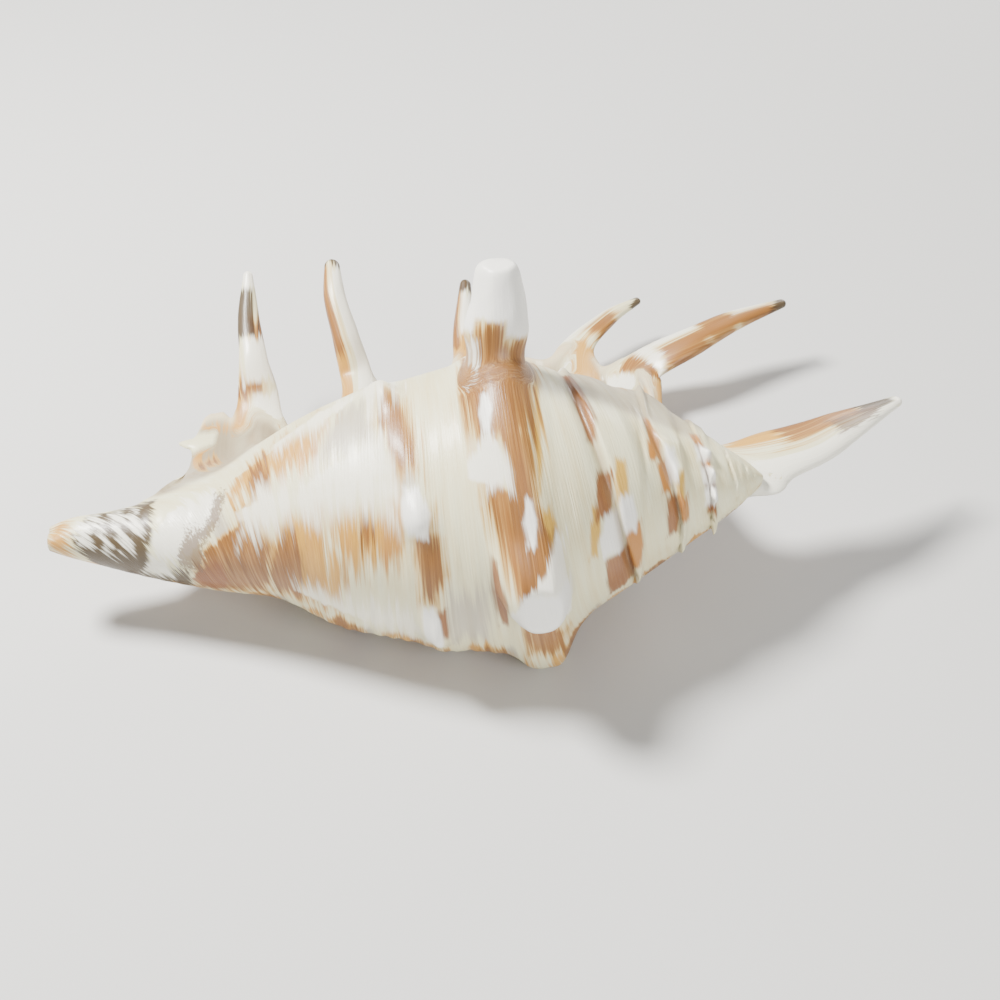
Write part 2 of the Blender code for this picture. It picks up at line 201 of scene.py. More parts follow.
coil = dict(
    apexX=53.0, growth=1.5,
    axis=([-91, -75, -60, -40, 0, 53], [20.5, 19.0, 19.5, 23.0, 26.0, 29.5]),
    radius=([-91, -88, -80, -70, -60, -50, -40, -30, -20, -10, 0, 9, 13, 20, 28, 36, 44, 48, 51, 53],
            [3.0, 3.9, 5.6, 8.2, 10.9, 14.0, 17.6, 21.2, 24.6, 27.2, 28.6, 28.6, 27.0, 22.6, 17.8, 12.9,
             8.0, 5.2, 2.6, 0.6]),
    topShare=([-91, -88.5, -85, -80, -70, -60, -45, -30, -15, 0, 13, 30, 53],
              [0.30, 0.72, 0.92, 0.95, 0.92, 0.89, 0.89, 0.88, 0.89, 0.92, 0.95, 1, 1]),
    lowShare=([-91, -60, -40, -20, 0, 10, 20, 30, 53], [1.05, 1.08, 1.05, 0.95, 0.92, 0.86, 0.95, 1, 1]),
    farShare=([-91, -60, -40, 0, 13, 30, 53], [1, 0.9, 0.85, 0.84, 0.88, 0.95, 1]),
    # suture: degrees turned since the apex, and its distance from the apex there
    suture=([-1080, -687, -327, -287, -100, 13, 44, 88, 250, 366, 407, 426, 457, 600, 694, 732, 762, 792,
             826, 1186],
            [2.2, 3.9, 6.5, 7.8, 10.5, 11.9, 12.4, 14.1, 17.0, 18.3, 20.3, 22.1, 25.0, 26.0, 26.9,
             30.2, 32.7, 36.2, 39.9, 64]),
    # keel beside each suture: whorls turned, height; the third suture carries beads, so many degrees apart
    keelHeight=([-3.5, -1.2, -0.3, 0.8, 1.8, 2.3], [0.35, 0.5, 0.8, 0.95, 1.25, 1.1]),
    keelRise=(0.68, 0.80), keelFall=(0.955, 0.995), beadRise=(0.60, 0.82), beadFall=(0.92, 0.985),
    beadStart=104, beadSpacing=24.5, beadHeight=2.1,
    # plain rings near the apex, a low band before the first suture, and the groove and sag between sutures
    ringTurns=(-1.7, -1.0), ringHeight=0.8, bandHeight=0.35, bandRise=(2.02, 2.07), bandFall=(2.17, 2.26),
    grooveDepth=0.8, grooveHalf=0.021, sagDepth=0.3, sagMiddle=0.45, sagHalf=0.2,
    # where this relief rises along X in mm, and fades towards the lip and on the near side in degrees
    reliefRise=(9, 15), lipFade=26, nearFade=(196, 228), apexTaper=11.0,
    # shoulder ridge: its two flanks by angle, height; knobs as angle, spread before, spread after, height
    ridgeAngle=[40, 72, 90, 121, 151, 174, 200, 240],
    ridgeLeft=[-9, -6.7, -6.3, -4.5, -1.3, 0.6, 2.0, 3.5],
    ridgeRight=[3.0, 4.2, 4.6, 5.6, 8.7, 11.6, 13.0, 14.0],
    ridgeHeight=2.5,
    ridgeKnobs=[(166, 15, 14, 2.2), (230, 16, 16, 2.6), (84, 18, 26, 4.2)],
    # blunt toe that ends the ridge: angles where it rises, is full, and drops away, height
    toe=(148, 170, 185.5), toeHeight=4.8,
    cordAngle=[50, 80, 107, 124, 142, 162, 194, 230],
    cordMiddle=[-26, -22.9, -20.1, -17.9, -16.8, -15.4, -13.6, -12],
    cordHalf=3.4, cordHeight=0.9,
    cordKnobs=[(78, 9, 9, 2.8), (142, 9, 7, 2.4), (196, 10, 8, 2.6)],
    # fullness low on the near side and under the canal end: angle, spread in degrees, height
    belly=(225, 30, 3.6), rest=(283, 36, 8.8),
    # spiral cords: their spacing in mm, height over the whole body, and more height low on the near side
    cordSpacing=(3.3, 2.1), threadHeight=0.035, lowThreadHeight=0.10)


# turns of the whorl, whole at each suture, rising towards the canal: (degrees at x + angle - 182) / 360
def whorlTurns(x, angle):
    degrees, distance = coil["suture"]
    return (np.interp(coil["apexX"] - x, distance, degrees) + angle - 182.0) / 360.0


# knobs along a ridge: sum of height exp(-(a / spread)^2), with one spread before the knob and one after it
def knobSum(angle, knobs):
    total = 0
    for at, before, after, height in knobs:
        a = awayFrom(angle, at)
        total = total + height * np.exp(-(a / np.where(a < 0, before, after)) ** 2)
    return total


# suture relief: keel or beads, plus a low band, less groove and sag, by the phase of the whorl; near the apex
# the keels become plain rings, ringHeight sin(pi phase)^0.7
def sutureRelief(x, angle):
    turns = whorlTurns(x, angle)
    phase, whorl = turns % 1.0, np.floor(turns)
    bar = through(turns, *coil["keelHeight"]) * between(phase, coil["keelRise"], coil["keelFall"])
    wave = 0.5 + 0.5 * np.cos(np.radians(angle - coil["beadStart"]) * 360 / coil["beadSpacing"])
    beads = coil["beadHeight"] * between(phase, coil["beadRise"], coil["beadFall"]) * wave ** 1.2
    keel = np.where(whorl == -1, 0.35 * bar + beads, bar + 0.3 * (whorl == 0) * beads)
    small = 1 - ease(turns, *coil["ringTurns"])
    keel = keel + (coil["ringHeight"] * np.sin(np.pi * phase) ** 0.7 - keel) * small
    band = coil["bandHeight"] * between(turns, coil["bandRise"], coil["bandFall"])
    groove = coil["grooveDepth"] * bump(np.minimum(phase, 1 - phase), 0, coil["grooveHalf"])
    sag = coil["sagDepth"] * bump(phase, coil["sagMiddle"], coil["sagHalf"]) * (1 - small)
    size = np.clip((coil["apexX"] - x) / coil["apexTaper"], 0, 1) * ease(x, *coil["reliefRise"])
    join = through(x, *lip["join"])
    fade = (0.25 + 0.75 * ease(angle, join, join + coil["lipFade"])) * (1 - ease(angle, *coil["nearFade"]))
    return (keel + band - groove - sag) * size * fade


# spiral cords round the body: sin(2 pi x / spacing) at two spacings, whose x wanders a little with the angle
def spiralThreads(x, angle):
    wander = 0.6 * np.sin(np.radians(angle) * 1.3 + 0.21 * x)
    wide, narrow = coil["cordSpacing"]
    waves = np.sin(2 * np.pi * (x + wander) / wide) + 0.4 * np.sin(2 * np.pi * (x - wander) / narrow)
    low = bump(awayFrom(angle, 205), 0, 34) * between(x, (-46, -30), (-6, 2))
    height = coil["lowThreadHeight"] * low + coil["threadHeight"] * (1 - ease(x, 8, 14))
    return waves * height * between(angle, (62, 84), (250, 285)) * ease(x, -88, -70)


# shoulder ridge: a plateau between its flanks with its knobs, and a toe sqrt(1 - distance^2.6) at its end
def shoulderRidge(x, angle):
    around = np.mod(angle, 360.0)
    left, right = [through(around, coil["ridgeAngle"], coil[side]) for side in ("ridgeLeft", "ridgeRight")]
    middle, width = (left + right) / 2, right - left
    plateau = between(x, (left - 2.8, left + 3.2), (right - 2.6, right + 1.8))
    ridge = 0.6 * plateau + 0.4 * bump(x, middle, width * 0.62)
    rise, full, drop = coil["toe"]
    fromToe = np.hypot((x - middle + 0.8) / width * 1.6, np.clip((around - full) / (drop - full), 0, 3))
    toe = ease(around, rise, full) * np.sqrt(np.clip(1 - (fromToe / 1.04) ** 2.6, 0, 1))
    return ridge * (coil["ridgeHeight"] + knobSum(angle, coil["ridgeKnobs"])) + coil["toeHeight"] * toe


# thinner cord in front of the ridge: exp(-((x - middle) / half)^2) times its height and knobs
def frontCord(x, angle):
    middle = through(np.mod(angle, 360.0), coil["cordAngle"], coil["cordMiddle"])
    return bump(x, middle, coil["cordHalf"]) * (coil["cordHeight"] + knobSum(angle, coil["cordKnobs"]))


# radius about the axis: profile carried outwards by growth^turn, its shares of top, underside and far side
# weighted by sin^2 and cos^2 of the angle, plus belly, rest, ridge, cord, sutures and threads
def bodyRadius(x, angle):
    growth = 1 + (coil["growth"] ** (awayFrom(190.0, angle) / 360.0) - 1) * ease(x, -70, -30)
    base = through(coil["apexX"] - (coil["apexX"] - x) / growth, *coil["radius"]) * (1 + (growth - 1) * 0.6)
    c, s = np.cos(np.radians(angle)), np.sin(np.radians(angle))
    share = s * s * np.where(s > 0, through(x, *coil["topShare"]), through(x, *coil["lowShare"]))
    share = share + c * c * np.where(c > 0, through(x, *coil["farShare"]), 1.0)
    at, spread, height = coil["belly"]
    belly = height * bump(awayFrom(angle, at), 0, spread) * between(x, (-48, -30), (10, 18))
    at, spread, height = coil["rest"]
    rest = height * bump(awayFrom(angle, at), 0, spread) * bump(x, -33, 14)
    onTop = awayFrom(angle, 140.0)
    shown = between(onTop, (-110, -70), (90, 130))
    raised = (shoulderRidge(x, angle) + frontCord(x, angle)) * shown
    return base * share + belly + rest + raised + sutureRelief(x, angle) + spiralThreads(x, angle)


# point (x, r cos a, axis height at x + r sin a)
def onBody(x, angle, radius):
    a, middle = np.radians(angle), through(x, *coil["axis"])
    return np.stack([x + 0 * radius, radius * np.cos(a), middle + radius * np.sin(a)], -1)


lip = dict(
    # edge by rows along the axis, in mm; reach is 0 where the edge lies on the body
    row=[-91, -75, -73.2, -72.4, -71.8, -71.2, -70.4, -69.8, -69.0, -68.3, -67.2, -66.4, -65.4, -64.0, -62.6,
         -61.2, -59.0, -56.5, -51, -44, -34, -26, -14, -3, 6, 14, 22, 28, 34, 39, 43, 47, 53],
    reach=[0, 0, 0.8] + [1] * 27 + [0.75, 0, 0],
    x=[-91, -75, -70.8, -68.4, -67.2, -66.6, -66.1, -65.7, -65.2, -65.0, -65.1, -65.2, -64.9, -64.3, -63.7,
       -61.7, -59.0, -57.0, -51.5, -43, -34, -26, -14, -3, 7, 14, 23, 30.5, 35, 38, 43, 47, 53],
    y=[0, 0, 10.5, 12.8, 14.8, 17.2, 20.6, 21.6, 24.0, 25.8, 28.2, 30.2, 32.2, 35.2, 38.2, 39.2, 38.8, 36.0,
       33, 31, 35, 40, 48, 56, 62.5, 64, 63, 58, 49, 36, 22, 0, 0],
    z=[0, 0, 15, 15.4, 15.7, 16, 16.2, 16.4, 16.8, 17, 17.4, 17.8, 18.2, 18.6, 18.9, 19, 19, 18.4, 17, 17,
       18, 18, 17, 15, 12.5, 11, 9.5, 9, 10.5, 15, 21, 0, 0],
    # direction in which the lip runs inwards from its edge, in degrees from +Y
    inward=([-91, -75, -71, -66, -50, -20, 10, 35, 42, 47, 53],
            [55, 55, 120, 190, 200, 205, 200, 200, 170, 55, 55]),
    shoulder=([-91, -70, -55, -25, -10, 5, 53], [0.42, 0.40, 0.27, 0.28, 0.33, 0.40, 0.42]),
    # row, half width and offset of each place where the edge is drawn out into a horn
    peaks=[(-50, 5.4, (-1.0, 6.0, 3.4)), (-28, 5.5, (-1.5, 8.0, 4.0)), (-4, 5.5, (-0.2, 8.6, 0.4)),
           (18, 4.6, (3.4, 6.4, 0.6)), (30, 5.6, (3.8, 4.2, 2.5))],
    edgeThickness=([-91, -75, -70, -60, 0, 40, 53], [0.9, 1.4, 1.9, 2.3, 2.8, 2.8, 1.0]),
    wallThickness=([-91, -80, -60, 0, 30, 53], [1.0, 1.6, 2.4, 3.4, 3.0, 1.0]),
    callus=([-91, -72, -60, -48, -35, 0, 16, 26, 34, 42, 53], [0, 0, 2, 5, 5, 5, 7.5, 11.5, 10, 3.5, 0]),
    callusMiddle=0.36, callusHalf=0.2,
    # angle of a closed edge, and by rows the angle at which the lip meets the body
    edgeAngle=-35.0, join=([-91, 0, 11, 23, 30, 40, 46, 53], [66, 66, 72, 82, 87, 90, 84, 76]),
    # half width and height of the ribs that run to the horns, and height of the growth folds
    ribHalf=2.6, ribHeight=0.55, foldHeight=0.16)

# the cavity: how far it is open, how thick the columella is, how many degrees it turns inwards, and where
# along X its opening closes to the spire
cavity = dict(
    opened=([-91, -80, 28, 37, 45, 53], [1, 1, 1, 0.7, 0, 0]),
    columella=([-91, -70, -40, 0, 20, 40, 53], [0.12, 0.2, 0.42, 0.46, 0.48, 0.5, 0.5]),
    turn=([-91, -60, -20, 20, 36, 53], [60, 75, 90, 85, 50, 10]),
    columellaAngle=285.0, closing=(42.5, 46.0))


# outer face of the lip: (1-t)^3 p0 + 3 (1-t)^2 t p1 + 3 (1-t) t^2 p2 + t^3 p3 from its edge to the body
def lipCurve(x, t):
    edge = np.stack([through(x, lip["row"], lip[k]) for k in "xyz"], -1)
    for row, halfWidth, offset in lip["peaks"]:
        edge = edge + bump(x, row, halfWidth)[..., None] * np.array(offset)
    closed = onBody(x, lip["edgeAngle"] + 0 * x, bodyRadius(x, lip["edgeAngle"] + 0 * x))
    edge = closed + (edge - closed) * through(x, lip["row"], lip["reach"])[..., None]
    join = through(x, *lip["join"])
    joint, before, after = [onBody(x, join + a, bodyRadius(x, join + a)) for a in (0, 4, -4)]
    reach = np.linalg.norm(edge - joint, axis=-1, keepdims=True)
    a = np.radians(through(x, *lip["inward"]))
    inward = np.stack([0.25 * (joint - edge)[..., 0] / reach[..., 0], np.cos(a), np.sin(a)], -1)
    p1 = edge + inward * reach * 0.38
    p2 = joint + unit(after - before) * reach * through(x, *lip["shoulder"])[..., None]
    t = t[..., None]
    return (1 - t) ** 3 * edge + 3 * (1 - t) ** 2 * t * p1 + 3 * (1 - t) * t * t * p2 + t ** 3 * joint


# lip point, its normal across X, its direction (p(t + d) - p(t - d)) / |...|, and its thickness, edge to wall
# in proportion to t with the callus on top
def lipFrame(x, t):
    point = lipCurve(x, t)
    along = unit(lipCurve(x, np.minimum(t + 0.004, 1)) - lipCurve(x, np.maximum(t - 0.004, 0)))
    normal = unit(np.stack([0 * x * t, along[..., 2], -along[..., 1]], -1))
    edge, wall = through(x, *lip["edgeThickness"]), through(x, *lip["wallThickness"])
    callus = through(x, *lip["callus"]) * bump(t, lip["callusMiddle"], lip["callusHalf"])
    return point, normal, along, (edge + (wall - edge) * t + callus)[..., None]


# ribs exp(-((x - row) / half)^2) that run out along the lip to each horn, and shallow growth folds
def lipRelief(x, t):
    ribs = sum(bump(x, row, lip["ribHalf"]) for row, _, _ in lip["peaks"])
    folds = ripple(26 * t + 0.05 * x, 0.18 * x, 1.3) * (1 - t)
    fade = between(t, (0.0, 0.06), (0.55, 1.0)) * between(x, (-74, -66), (36, 42))
    return fade * (lip["ribHeight"] * ribs * (1 - t) + lip["foldHeight"] * folds)


# n even steps from 0 up to but not including 1, as one row
def steps(n):
    return np.linspace(0, 1, n, endpoint=False)[None, :]


# from first towards last in n even steps: first + (last - first) step
def fromTo(first, last, n):
    return first + (last - first) * steps(n)


# inner face of the section: columella r (1 - (1 - core) ease), then the wall back to the lip's inner face,
# both drawn in to their middle where they meet by 1 - sqrt(1 - u^2)
def cavitySection(x, under, count):
    opened, core = through(x, *cavity["opened"]), through(x, *cavity["columella"])
    wall, first = through(x, *lip["wallThickness"]), cavity["columellaAngle"]
    startY, startZ = under[:, :1, 1], under[:, :1, 2] - through(x, *coil["axis"])
    startAngle = np.degrees(np.arctan2(startZ, startY)) + 360
    startRadius = np.hypot(startY, startZ)
    deepAngle = startAngle + opened * through(x, *cavity["turn"])

    angle = fromTo(first, deepAngle, count["columella"])
    whole = bodyRadius(x, np.minimum(angle, 325))
    radius = whole * (1 - (1 - core) * ease(angle, first, first + 85) * opened)
    deepCore = bodyRadius(x, 66.0 + 0 * x) * core
    middle = (0.5 * (deepCore + bodyRadius(x, deepAngle) - wall) * opened
              + 0.5 * (startRadius + whole[:, -1:]) * (1 - opened))
    rounding = 25 * opened + 1

    def closeIn(r, a, amount):
        u = np.clip(1 - (deepAngle - a) / rounding, 0, 1) * amount
        return r + (middle - r) * (1 - np.sqrt(1 - 0.999 * u * u))

    columella = onBody(x, angle, closeIn(radius, angle, opened))
    s = steps(count["wall"])
    angle = deepAngle + (startAngle - deepAngle) * s
    radius = (bodyRadius(x, angle) - wall) * opened + (middle + (startRadius - middle) * s) * (1 - opened)
    radius = radius + (startRadius - radius) * ease(s, 0.6, 1.0)
    return columella, onBody(x, angle, closeIn(radius, angle, opened))


# closed sections, one a row: out over the lip, round the body, into the cavity and back under the lip, whose
# edge is half a circle; towards the apex the inner half becomes a plain ring as h + (ring - h) ease
def shellSections(rows, count):
    x = np.asarray(rows, float)[:, None]
    t = steps(count["lip"]) ** meshPlan["lipPower"] + 0 * x
    point, normal, _, _ = lipFrame(x, t)
    top = point + normal * lipRelief(x, t)[..., None]
    angle = fromTo(through(x, *lip["join"]), cavity["columellaAngle"], count["body"]) + 0 * x
    body = onBody(x, angle, bodyRadius(x, angle))

    deepest = 0.1 + 0.9 * through(x, *cavity["opened"])
    point, normal, _, thick = lipFrame(x, deepest * (1 - steps(count["under"])))
    under = point - normal * thick
    columella, inside = cavitySection(x, under, count)

    point, normal, along, thick = lipFrame(x, 0 * x)
    a = (np.pi * np.arange(count["edge"] + 1) / (count["edge"] + 1))[None, :, None]
    edge = point - thick / 2 * (normal * (1 + np.cos(a)) + along * np.sin(a))

    hollow = np.concatenate([columella, inside, under, edge], 1)
    angle = fromTo(cavity["columellaAngle"], 360 + lip["edgeAngle"], hollow.shape[1]) + 0 * x
    ring = onBody(x, angle, bodyRadius(x, angle))
    hollow = hollow + (ring - hollow) * ease(x, *cavity["closing"])[..., None]
    return np.concatenate([top, body, hollow], 1)


# mesh of rings joined in order, with a face over each end; turned where the sum of p0 . (p1 x p2) is below 0
def closedMesh(name, rings):
    n, m = rings.shape[:2]
    verts = rings.reshape(-1, 3)
    i, j = np.meshgrid(np.arange(n - 1), np.arange(m), indexing="ij")
    a, b = i * m + j, i * m + (j + 1) % m
    quads = np.stack([a, b, b + m, a + m], -1).reshape(-1, 4)
    p = [verts[quads[:, k]] for k in range(4)]
    volume = sum(np.einsum("ij,ij->", p[0], np.cross(p[k], p[k + 1])) for k in (1, 2))
    faces = quads.tolist() + [list(range(m))[::-1], list(range((n - 1) * m, n * m))]
    if volume < 0:
        faces = [face[::-1] for face in faces]
    mesh = bpy.data.meshes.new(name)
    mesh.from_pydata(verts.tolist(), [], faces)
    mesh.update()
    return mesh


# each horn: points of its middle line, half widths, half thicknesses; row says where it leaves the lip, up
# which way its thickness lies, and blunt how flat its tip is
horns = dict(
    hornOne=dict(row=-50, path=[(-52.6, 49, 26), (-53.8, 60, 31), (-53.9, 68.5, 36)],
                 wide=[4, 6.0, 3.2, 2.3, 0.9], thin=[0.6, 1.5, 2, 1.5, 0.8]),
    hornTwo=dict(row=-28, path=[(-32, 54.5, 27), (-34.5, 64, 33), (-35, 72, 36)],
                 wide=[2.5, 4.4, 3.1, 2.4, 1.6], thin=[0.8, 2.1, 2.4, 2, 1.4]),
    hornThree=dict(row=-4, path=[(-5, 71, 15.5), (-4.5, 78, 17.5), (-4, 85.3, 20)],
                   wide=[2.5, 4.2, 2.6, 2.0, 1.2], thin=[0.8, 2.1, 2.1, 1.7, 1.0]),
    hornFour=dict(row=18, path=[(26.8, 75.5, 11), (32.5, 81.5, 11.4), (39.3, 86.6, 11.6)],
                  wide=[4.5, 5.6, 3.1, 2.1, 0.9], thin=[0.6, 1.7, 1.8, 1.4, 0.8]),
    hornFive=dict(row=29.5, path=[(47, 64.5, 14), (60, 71, 16), (73.3, 76.3, 17)],
                  wide=[6, 7.4, 4.6, 3.0, 1.1], thin=[0.6, 1.9, 2.3, 1.8, 0.9]),
    hornSix=dict(path=[(38, 7, 24), (46, 7.5, 25), (54, 8.2, 26.4), (61, 9.6, 27.4), (73, 16.2, 28.4),
                       (87.3, 25, 28)],
                 wide=[4, 7.6, 8.4, 7.6, 4.6, 1.2], thin=[2, 4.4, 3.2, 2.6, 1.8, 0.8]),
    flangeSpikeOne=dict(path=[(-60.5, 29.5, 18.2), (-64.2, 29.8, 18.0), (-68.4, 30.6, 17.6)],
                        wide=[4.0, 2.7, 0.35], thin=[0.5, 0.8, 0.3]),
    flangeSpikeTwo=dict(path=[(-61.5, 20.6, 17.4), (-64.6, 20.6, 16.6), (-69.4, 20.2, 15.5)],
                        wide=[3.0, 1.9, 0.35], thin=[0.5, 0.8, 0.3]),
    apexFlange=dict(path=[(43, 3, 26), (50, 1.6, 26.5), (55, 1.2, 26.6), (58.5, 0.8, 26.6)],
                    wide=[2, 3.4, 3.4, 2.0], thin=[2, 2.6, 1.8, 0.9]),
    shoulderHorn=dict(path=[(-1.6, -2, 45), (-1.1, 2, 54), (-0.3, 6, 62), (0.2, 9.5, 69), (0.2, 12.7, 75.6)],
                      wide=[5, 6.1, 6.4, 5.1, 3.9], thin=[5, 6.0, 5.6, 4.7, 3.7], up=(0, 1, 0), blunt=3.4))
hornMesh = dict(rings=44, sides=36, tipRings=9, wobble=0.05)


# points of the horn's middle line; one that leaves the lip starts at two points inside it, p - n thick / 2
def hornPath(horn):
    path = [np.array(p, float) for p in horn["path"]]
    if "row" in horn:
        row = np.array([float(horn["row"])])
        start = []
        for t in (0.30, 0.0):
            point, normal, _, thick = lipFrame(row, np.array([t]))
            start.append((point - normal * thick / 2)[0])
        path = start + path
    return np.array(path)


# the path, its length, its points' places along it, the tip's share of it, and the rings' places along it:
# even up to the tip, then 1 - tip (1 - sin)
def hornStations(horn):
    path = hornPath(horn)
    pieces = np.linalg.norm(np.diff(path, axis=0), axis=1)
    length = pieces.sum()
    tip = max(horn["wide"][-1], horn["thin"][-1]) / length
    turn = np.radians(np.linspace(8, 84, hornMesh["tipRings"]))
    s = np.concatenate([np.linspace(0, 1 - tip, hornMesh["rings"]), 1 - tip * (1 - np.sin(turn))])
    return path, length, np.concatenate([[0], np.cumsum(pieces)]) / length, tip, s


# oval rings p + w cos(a) side + h sin(a) over; the last ones shrink as (1 - u^n)^(1/n), flatter for n > 2
def hornRings(horn):
    path, _, stations, tip, s = hornStations(horn)
    points = np.stack([through(s, stations, path[:, i]) for i in range(3)], -1)
    ahead = unit(np.gradient(points, s, axis=0))
    side = unit(np.cross(ahead, np.asarray(horn.get("up", (0, 0, 1)), float)))
    over = np.cross(side, ahead)
    n = horn.get("blunt", 2.0)
    cap = ((1 - np.clip((s - 1 + tip) / tip, 0, 1) ** n) ** (1 / n))[:, None, None]
    a = np.linspace(0, 2 * np.pi, hornMesh["sides"], endpoint=False)[None, :, None]
    w, h = [through(s, stations, horn[size])[:, None, None] for size in ("wide", "thin")]
    waves = ripple(3 * a + 0 * s[:, None, None], 22 * s[:, None, None], path[-1, 0])
    oval = side[:, None] * w * np.cos(a) + over[:, None] * h * np.sin(a)
    return points[:, None] + cap * (1 + hornMesh["wobble"] * waves) * oval


# rows: from and to along X and their spacing, in mm; points round each row; power that spaces the lip's
# points; how many points out from a join are rounded, how many times, and how strongly
meshPlan = dict(
    rows=[(-91, -74, 0.75), (-74, -56, 0.30), (-56, -40, 0.62), (-40, 14, 0.52), (14, 46, 0.30),
          (46, 53, 0.35)],
    count=dict(lip=54, body=128, columella=22, wall=14, under=30, edge=5), lipPower=0.9,
    joinRings=14, joinRounds=50, joinPull=0.7)


# places of the rows along X: from + k spacing in each stretch, and the apex
def rowPlaces():
    pieces = [np.arange(a, b - 1e-6, step) for a, b, step in meshPlan["rows"]]
    return np.concatenate(pieces + [[coil["apexX"]]])


# places of a mesh's points, as an array of n by 3
def meshPoints(mesh):
    co = np.empty(len(mesh.vertices) * 3, np.float32)
    mesh.vertices.foreach_get("co", co)
    return co.reshape(-1, 3)


# both ends of every edge, as two arrays of point numbers
def edgeEnds(mesh):
    edges = np.empty(len(mesh.edges) * 2, np.int64)
    mesh.edges.foreach_get("vertices", edges)
    return edges.reshape(-1, 2).T


# mean of its neighbours' values at each point: sum of values / number of edges
def neighbourMean(ends, values):
    total, count = np.zeros_like(values), np.zeros(len(values))
    for here, there in (ends, ends[::-1]):
        np.add.at(total, here, values[there])
        np.add.at(count, here, 1)
    return (total.T / count).T


# union of the shell's rings and every horn's rings, and the places of the points that went into it
def joinedMesh():
    sections = shellSections(rowPlaces(), meshPlan["count"])
    shell = bpy.data.objects.new("shellBody", closedMesh("shellBody", sections))
    bpy.context.scene.collection.objects.link(shell)
    pieces = bpy.data.collections.new("hornPieces")
    for name, horn in horns.items():
        pieces.objects.link(bpy.data.objects.new(name, closedMesh(name, hornRings(horn))))
    bpy.context.scene.collection.children.link(pieces)
    union = shell.modifiers.new("joinHorns", "BOOLEAN")
    union.operation, union.solver = "UNION", "MANIFOLD"
    union.operand_type, union.collection = "COLLECTION", pieces
    parts = [shell] + list(pieces.objects)
    before = np.concatenate([meshPoints(item.data) for item in parts])
    depsgraph = bpy.context.evaluated_depsgraph_get()
    mesh = bpy.data.meshes.new_from_object(shell.evaluated_get(depsgraph))
    mesh.name = "spiderConchShell"
    for item in parts:
        bpy.data.objects.remove(item, do_unlink=True)
    bpy.data.collections.remove(pieces)
    return mesh, before


# one whole number for each place, (i * 1000003 + j) * 1000003 + k of places counted in 1/2000 mm
def placeKeys(points):
    k = np.round(np.asarray(points, float) * 2000).astype(np.int64) + 400000
    return (k[:, 0] * 1000003 + k[:, 1]) * 1000003 + k[:, 2]


# points that the union made are the joins; near them p moves to p + pull weight (neighbours' mean - p), and
# the weight drops from 1 by 1 / (joinRings + 1) for each edge between
def roundJoins(mesh, before):
    points, ends = meshPoints(mesh).astype(float), edgeEnds(mesh)
    weight = (~np.isin(placeKeys(points), placeKeys(before))).astype(float)
    print("points at the joins:", int(weight.sum()))
    for _ in range(meshPlan["joinRings"]):
        spread = weight.copy()
        for here, there in (ends, ends[::-1]):
            np.maximum.at(spread, here, weight[there] - 1.0 / (meshPlan["joinRings"] + 1))
        weight = spread
    pull = (meshPlan["joinPull"] * ease(weight, 0, 1))[:, None]
    for _ in range(meshPlan["joinRounds"]):
        points += (neighbourMean(ends, points) - points) * pull
    return points


shellMesh, pointsBefore = joinedMesh()
pointsUnited = meshPoints(shellMesh)
shellPoints = roundJoins(shellMesh, pointsBefore)
print("shell and horns joined:", len(shellPoints), "points")


# number of the piece point that each point comes from, by its place, or -1 for points that the union made
def sourceOf(points, before):
    keys, wanted = placeKeys(before), placeKeys(points)
    order = np.argsort(keys)
    spot = np.clip(np.searchsorted(keys[order], wanted), 0, len(keys) - 1)
    source = order[spot]
    return np.where(keys[source] == wanted, source, -1)


# how much each part of a section is inside the shell, at its first and last point; the body's end turns in by
# bodyTurn over its last bodyEnd, and the inside closes at x of closing
insideShare = dict(lip=(0, 0), body=(0, 0), columella=(1, 1), wall=(1, 1), under=(1, 1), edge=(1, 0))
insideEnds = dict(bodyTurn=0.7, bodyEnd=(0.90, 1.0), closing=(37, 44))


# values at each piece's points, in the order of the pieces: which horn (-1 for the shell), how far along it,
# which side of it (cos a) and how far over it (sin a); for the shell how much it is inside, and how far
# across the lip, from 0 at its edge to 1 at the body
def pieceValues():
    count, rows = meshPlan["count"], rowPlaces()
    inside, across = [], []
    for part, (first, last) in insideShare.items():
        share = np.linspace(0, 1, count[part] + (part == "edge"), endpoint=False)
        turn = (part == "body") * insideEnds["bodyTurn"] * ease(share, *insideEnds["bodyEnd"])
        inside.append(first + (last - first) * share + turn)
        fromEdge = {"lip": share ** meshPlan["lipPower"], "under": 1 - share, "edge": 0 * share}
        across.append(fromEdge.get(part, 1 + 0 * share))
    inside, across = np.concatenate(inside), np.concatenate(across)
    shell = np.zeros((len(rows), len(inside), 6))
    shell[..., 0], shell[..., 5] = -1, across
    shell[..., 4] = (1 - ease(rows, *insideEnds["closing"]))[:, None] * inside
    values = [shell.reshape(-1, 6)]
    a = np.linspace(0, 2 * np.pi, hornMesh["sides"], endpoint=False)
    for i, horn in enumerate(horns.values()):
        s = hornStations(horn)[-1]
        grid = np.zeros((len(s), len(a), 6))
        grid[..., 0], grid[..., 1] = i, s[:, None]
        grid[..., 2], grid[..., 3] = np.cos(a), np.sin(a)
        values.append(grid.reshape(-1, 6))
    return np.concatenate(values)


# points without a value take the mean of the neighbours that have one, ring after ring
def spreadValues(ends, known, values, rounds):
    known, values = known.copy(), values.copy()
    for _ in range(rounds):
        total, count = np.zeros_like(values), np.zeros(len(values))
        for here, there in (ends, ends[::-1]):
            use = known[there] & ~known[here]
            np.add.at(total, here[use], values[there[use]])
            np.add.at(count, here[use], 1)
        new = count > 0
        values[new] = total[new] / count[new][:, None]
        known |= new
    return known, values


# each point's value moves towards its neighbours' mean: 0.4 value + 0.6 mean
def softened(ends, value, rounds):
    for _ in range(rounds):
        value = 0.4 * value + 0.6 * neighbourMean(ends, value)
    return value


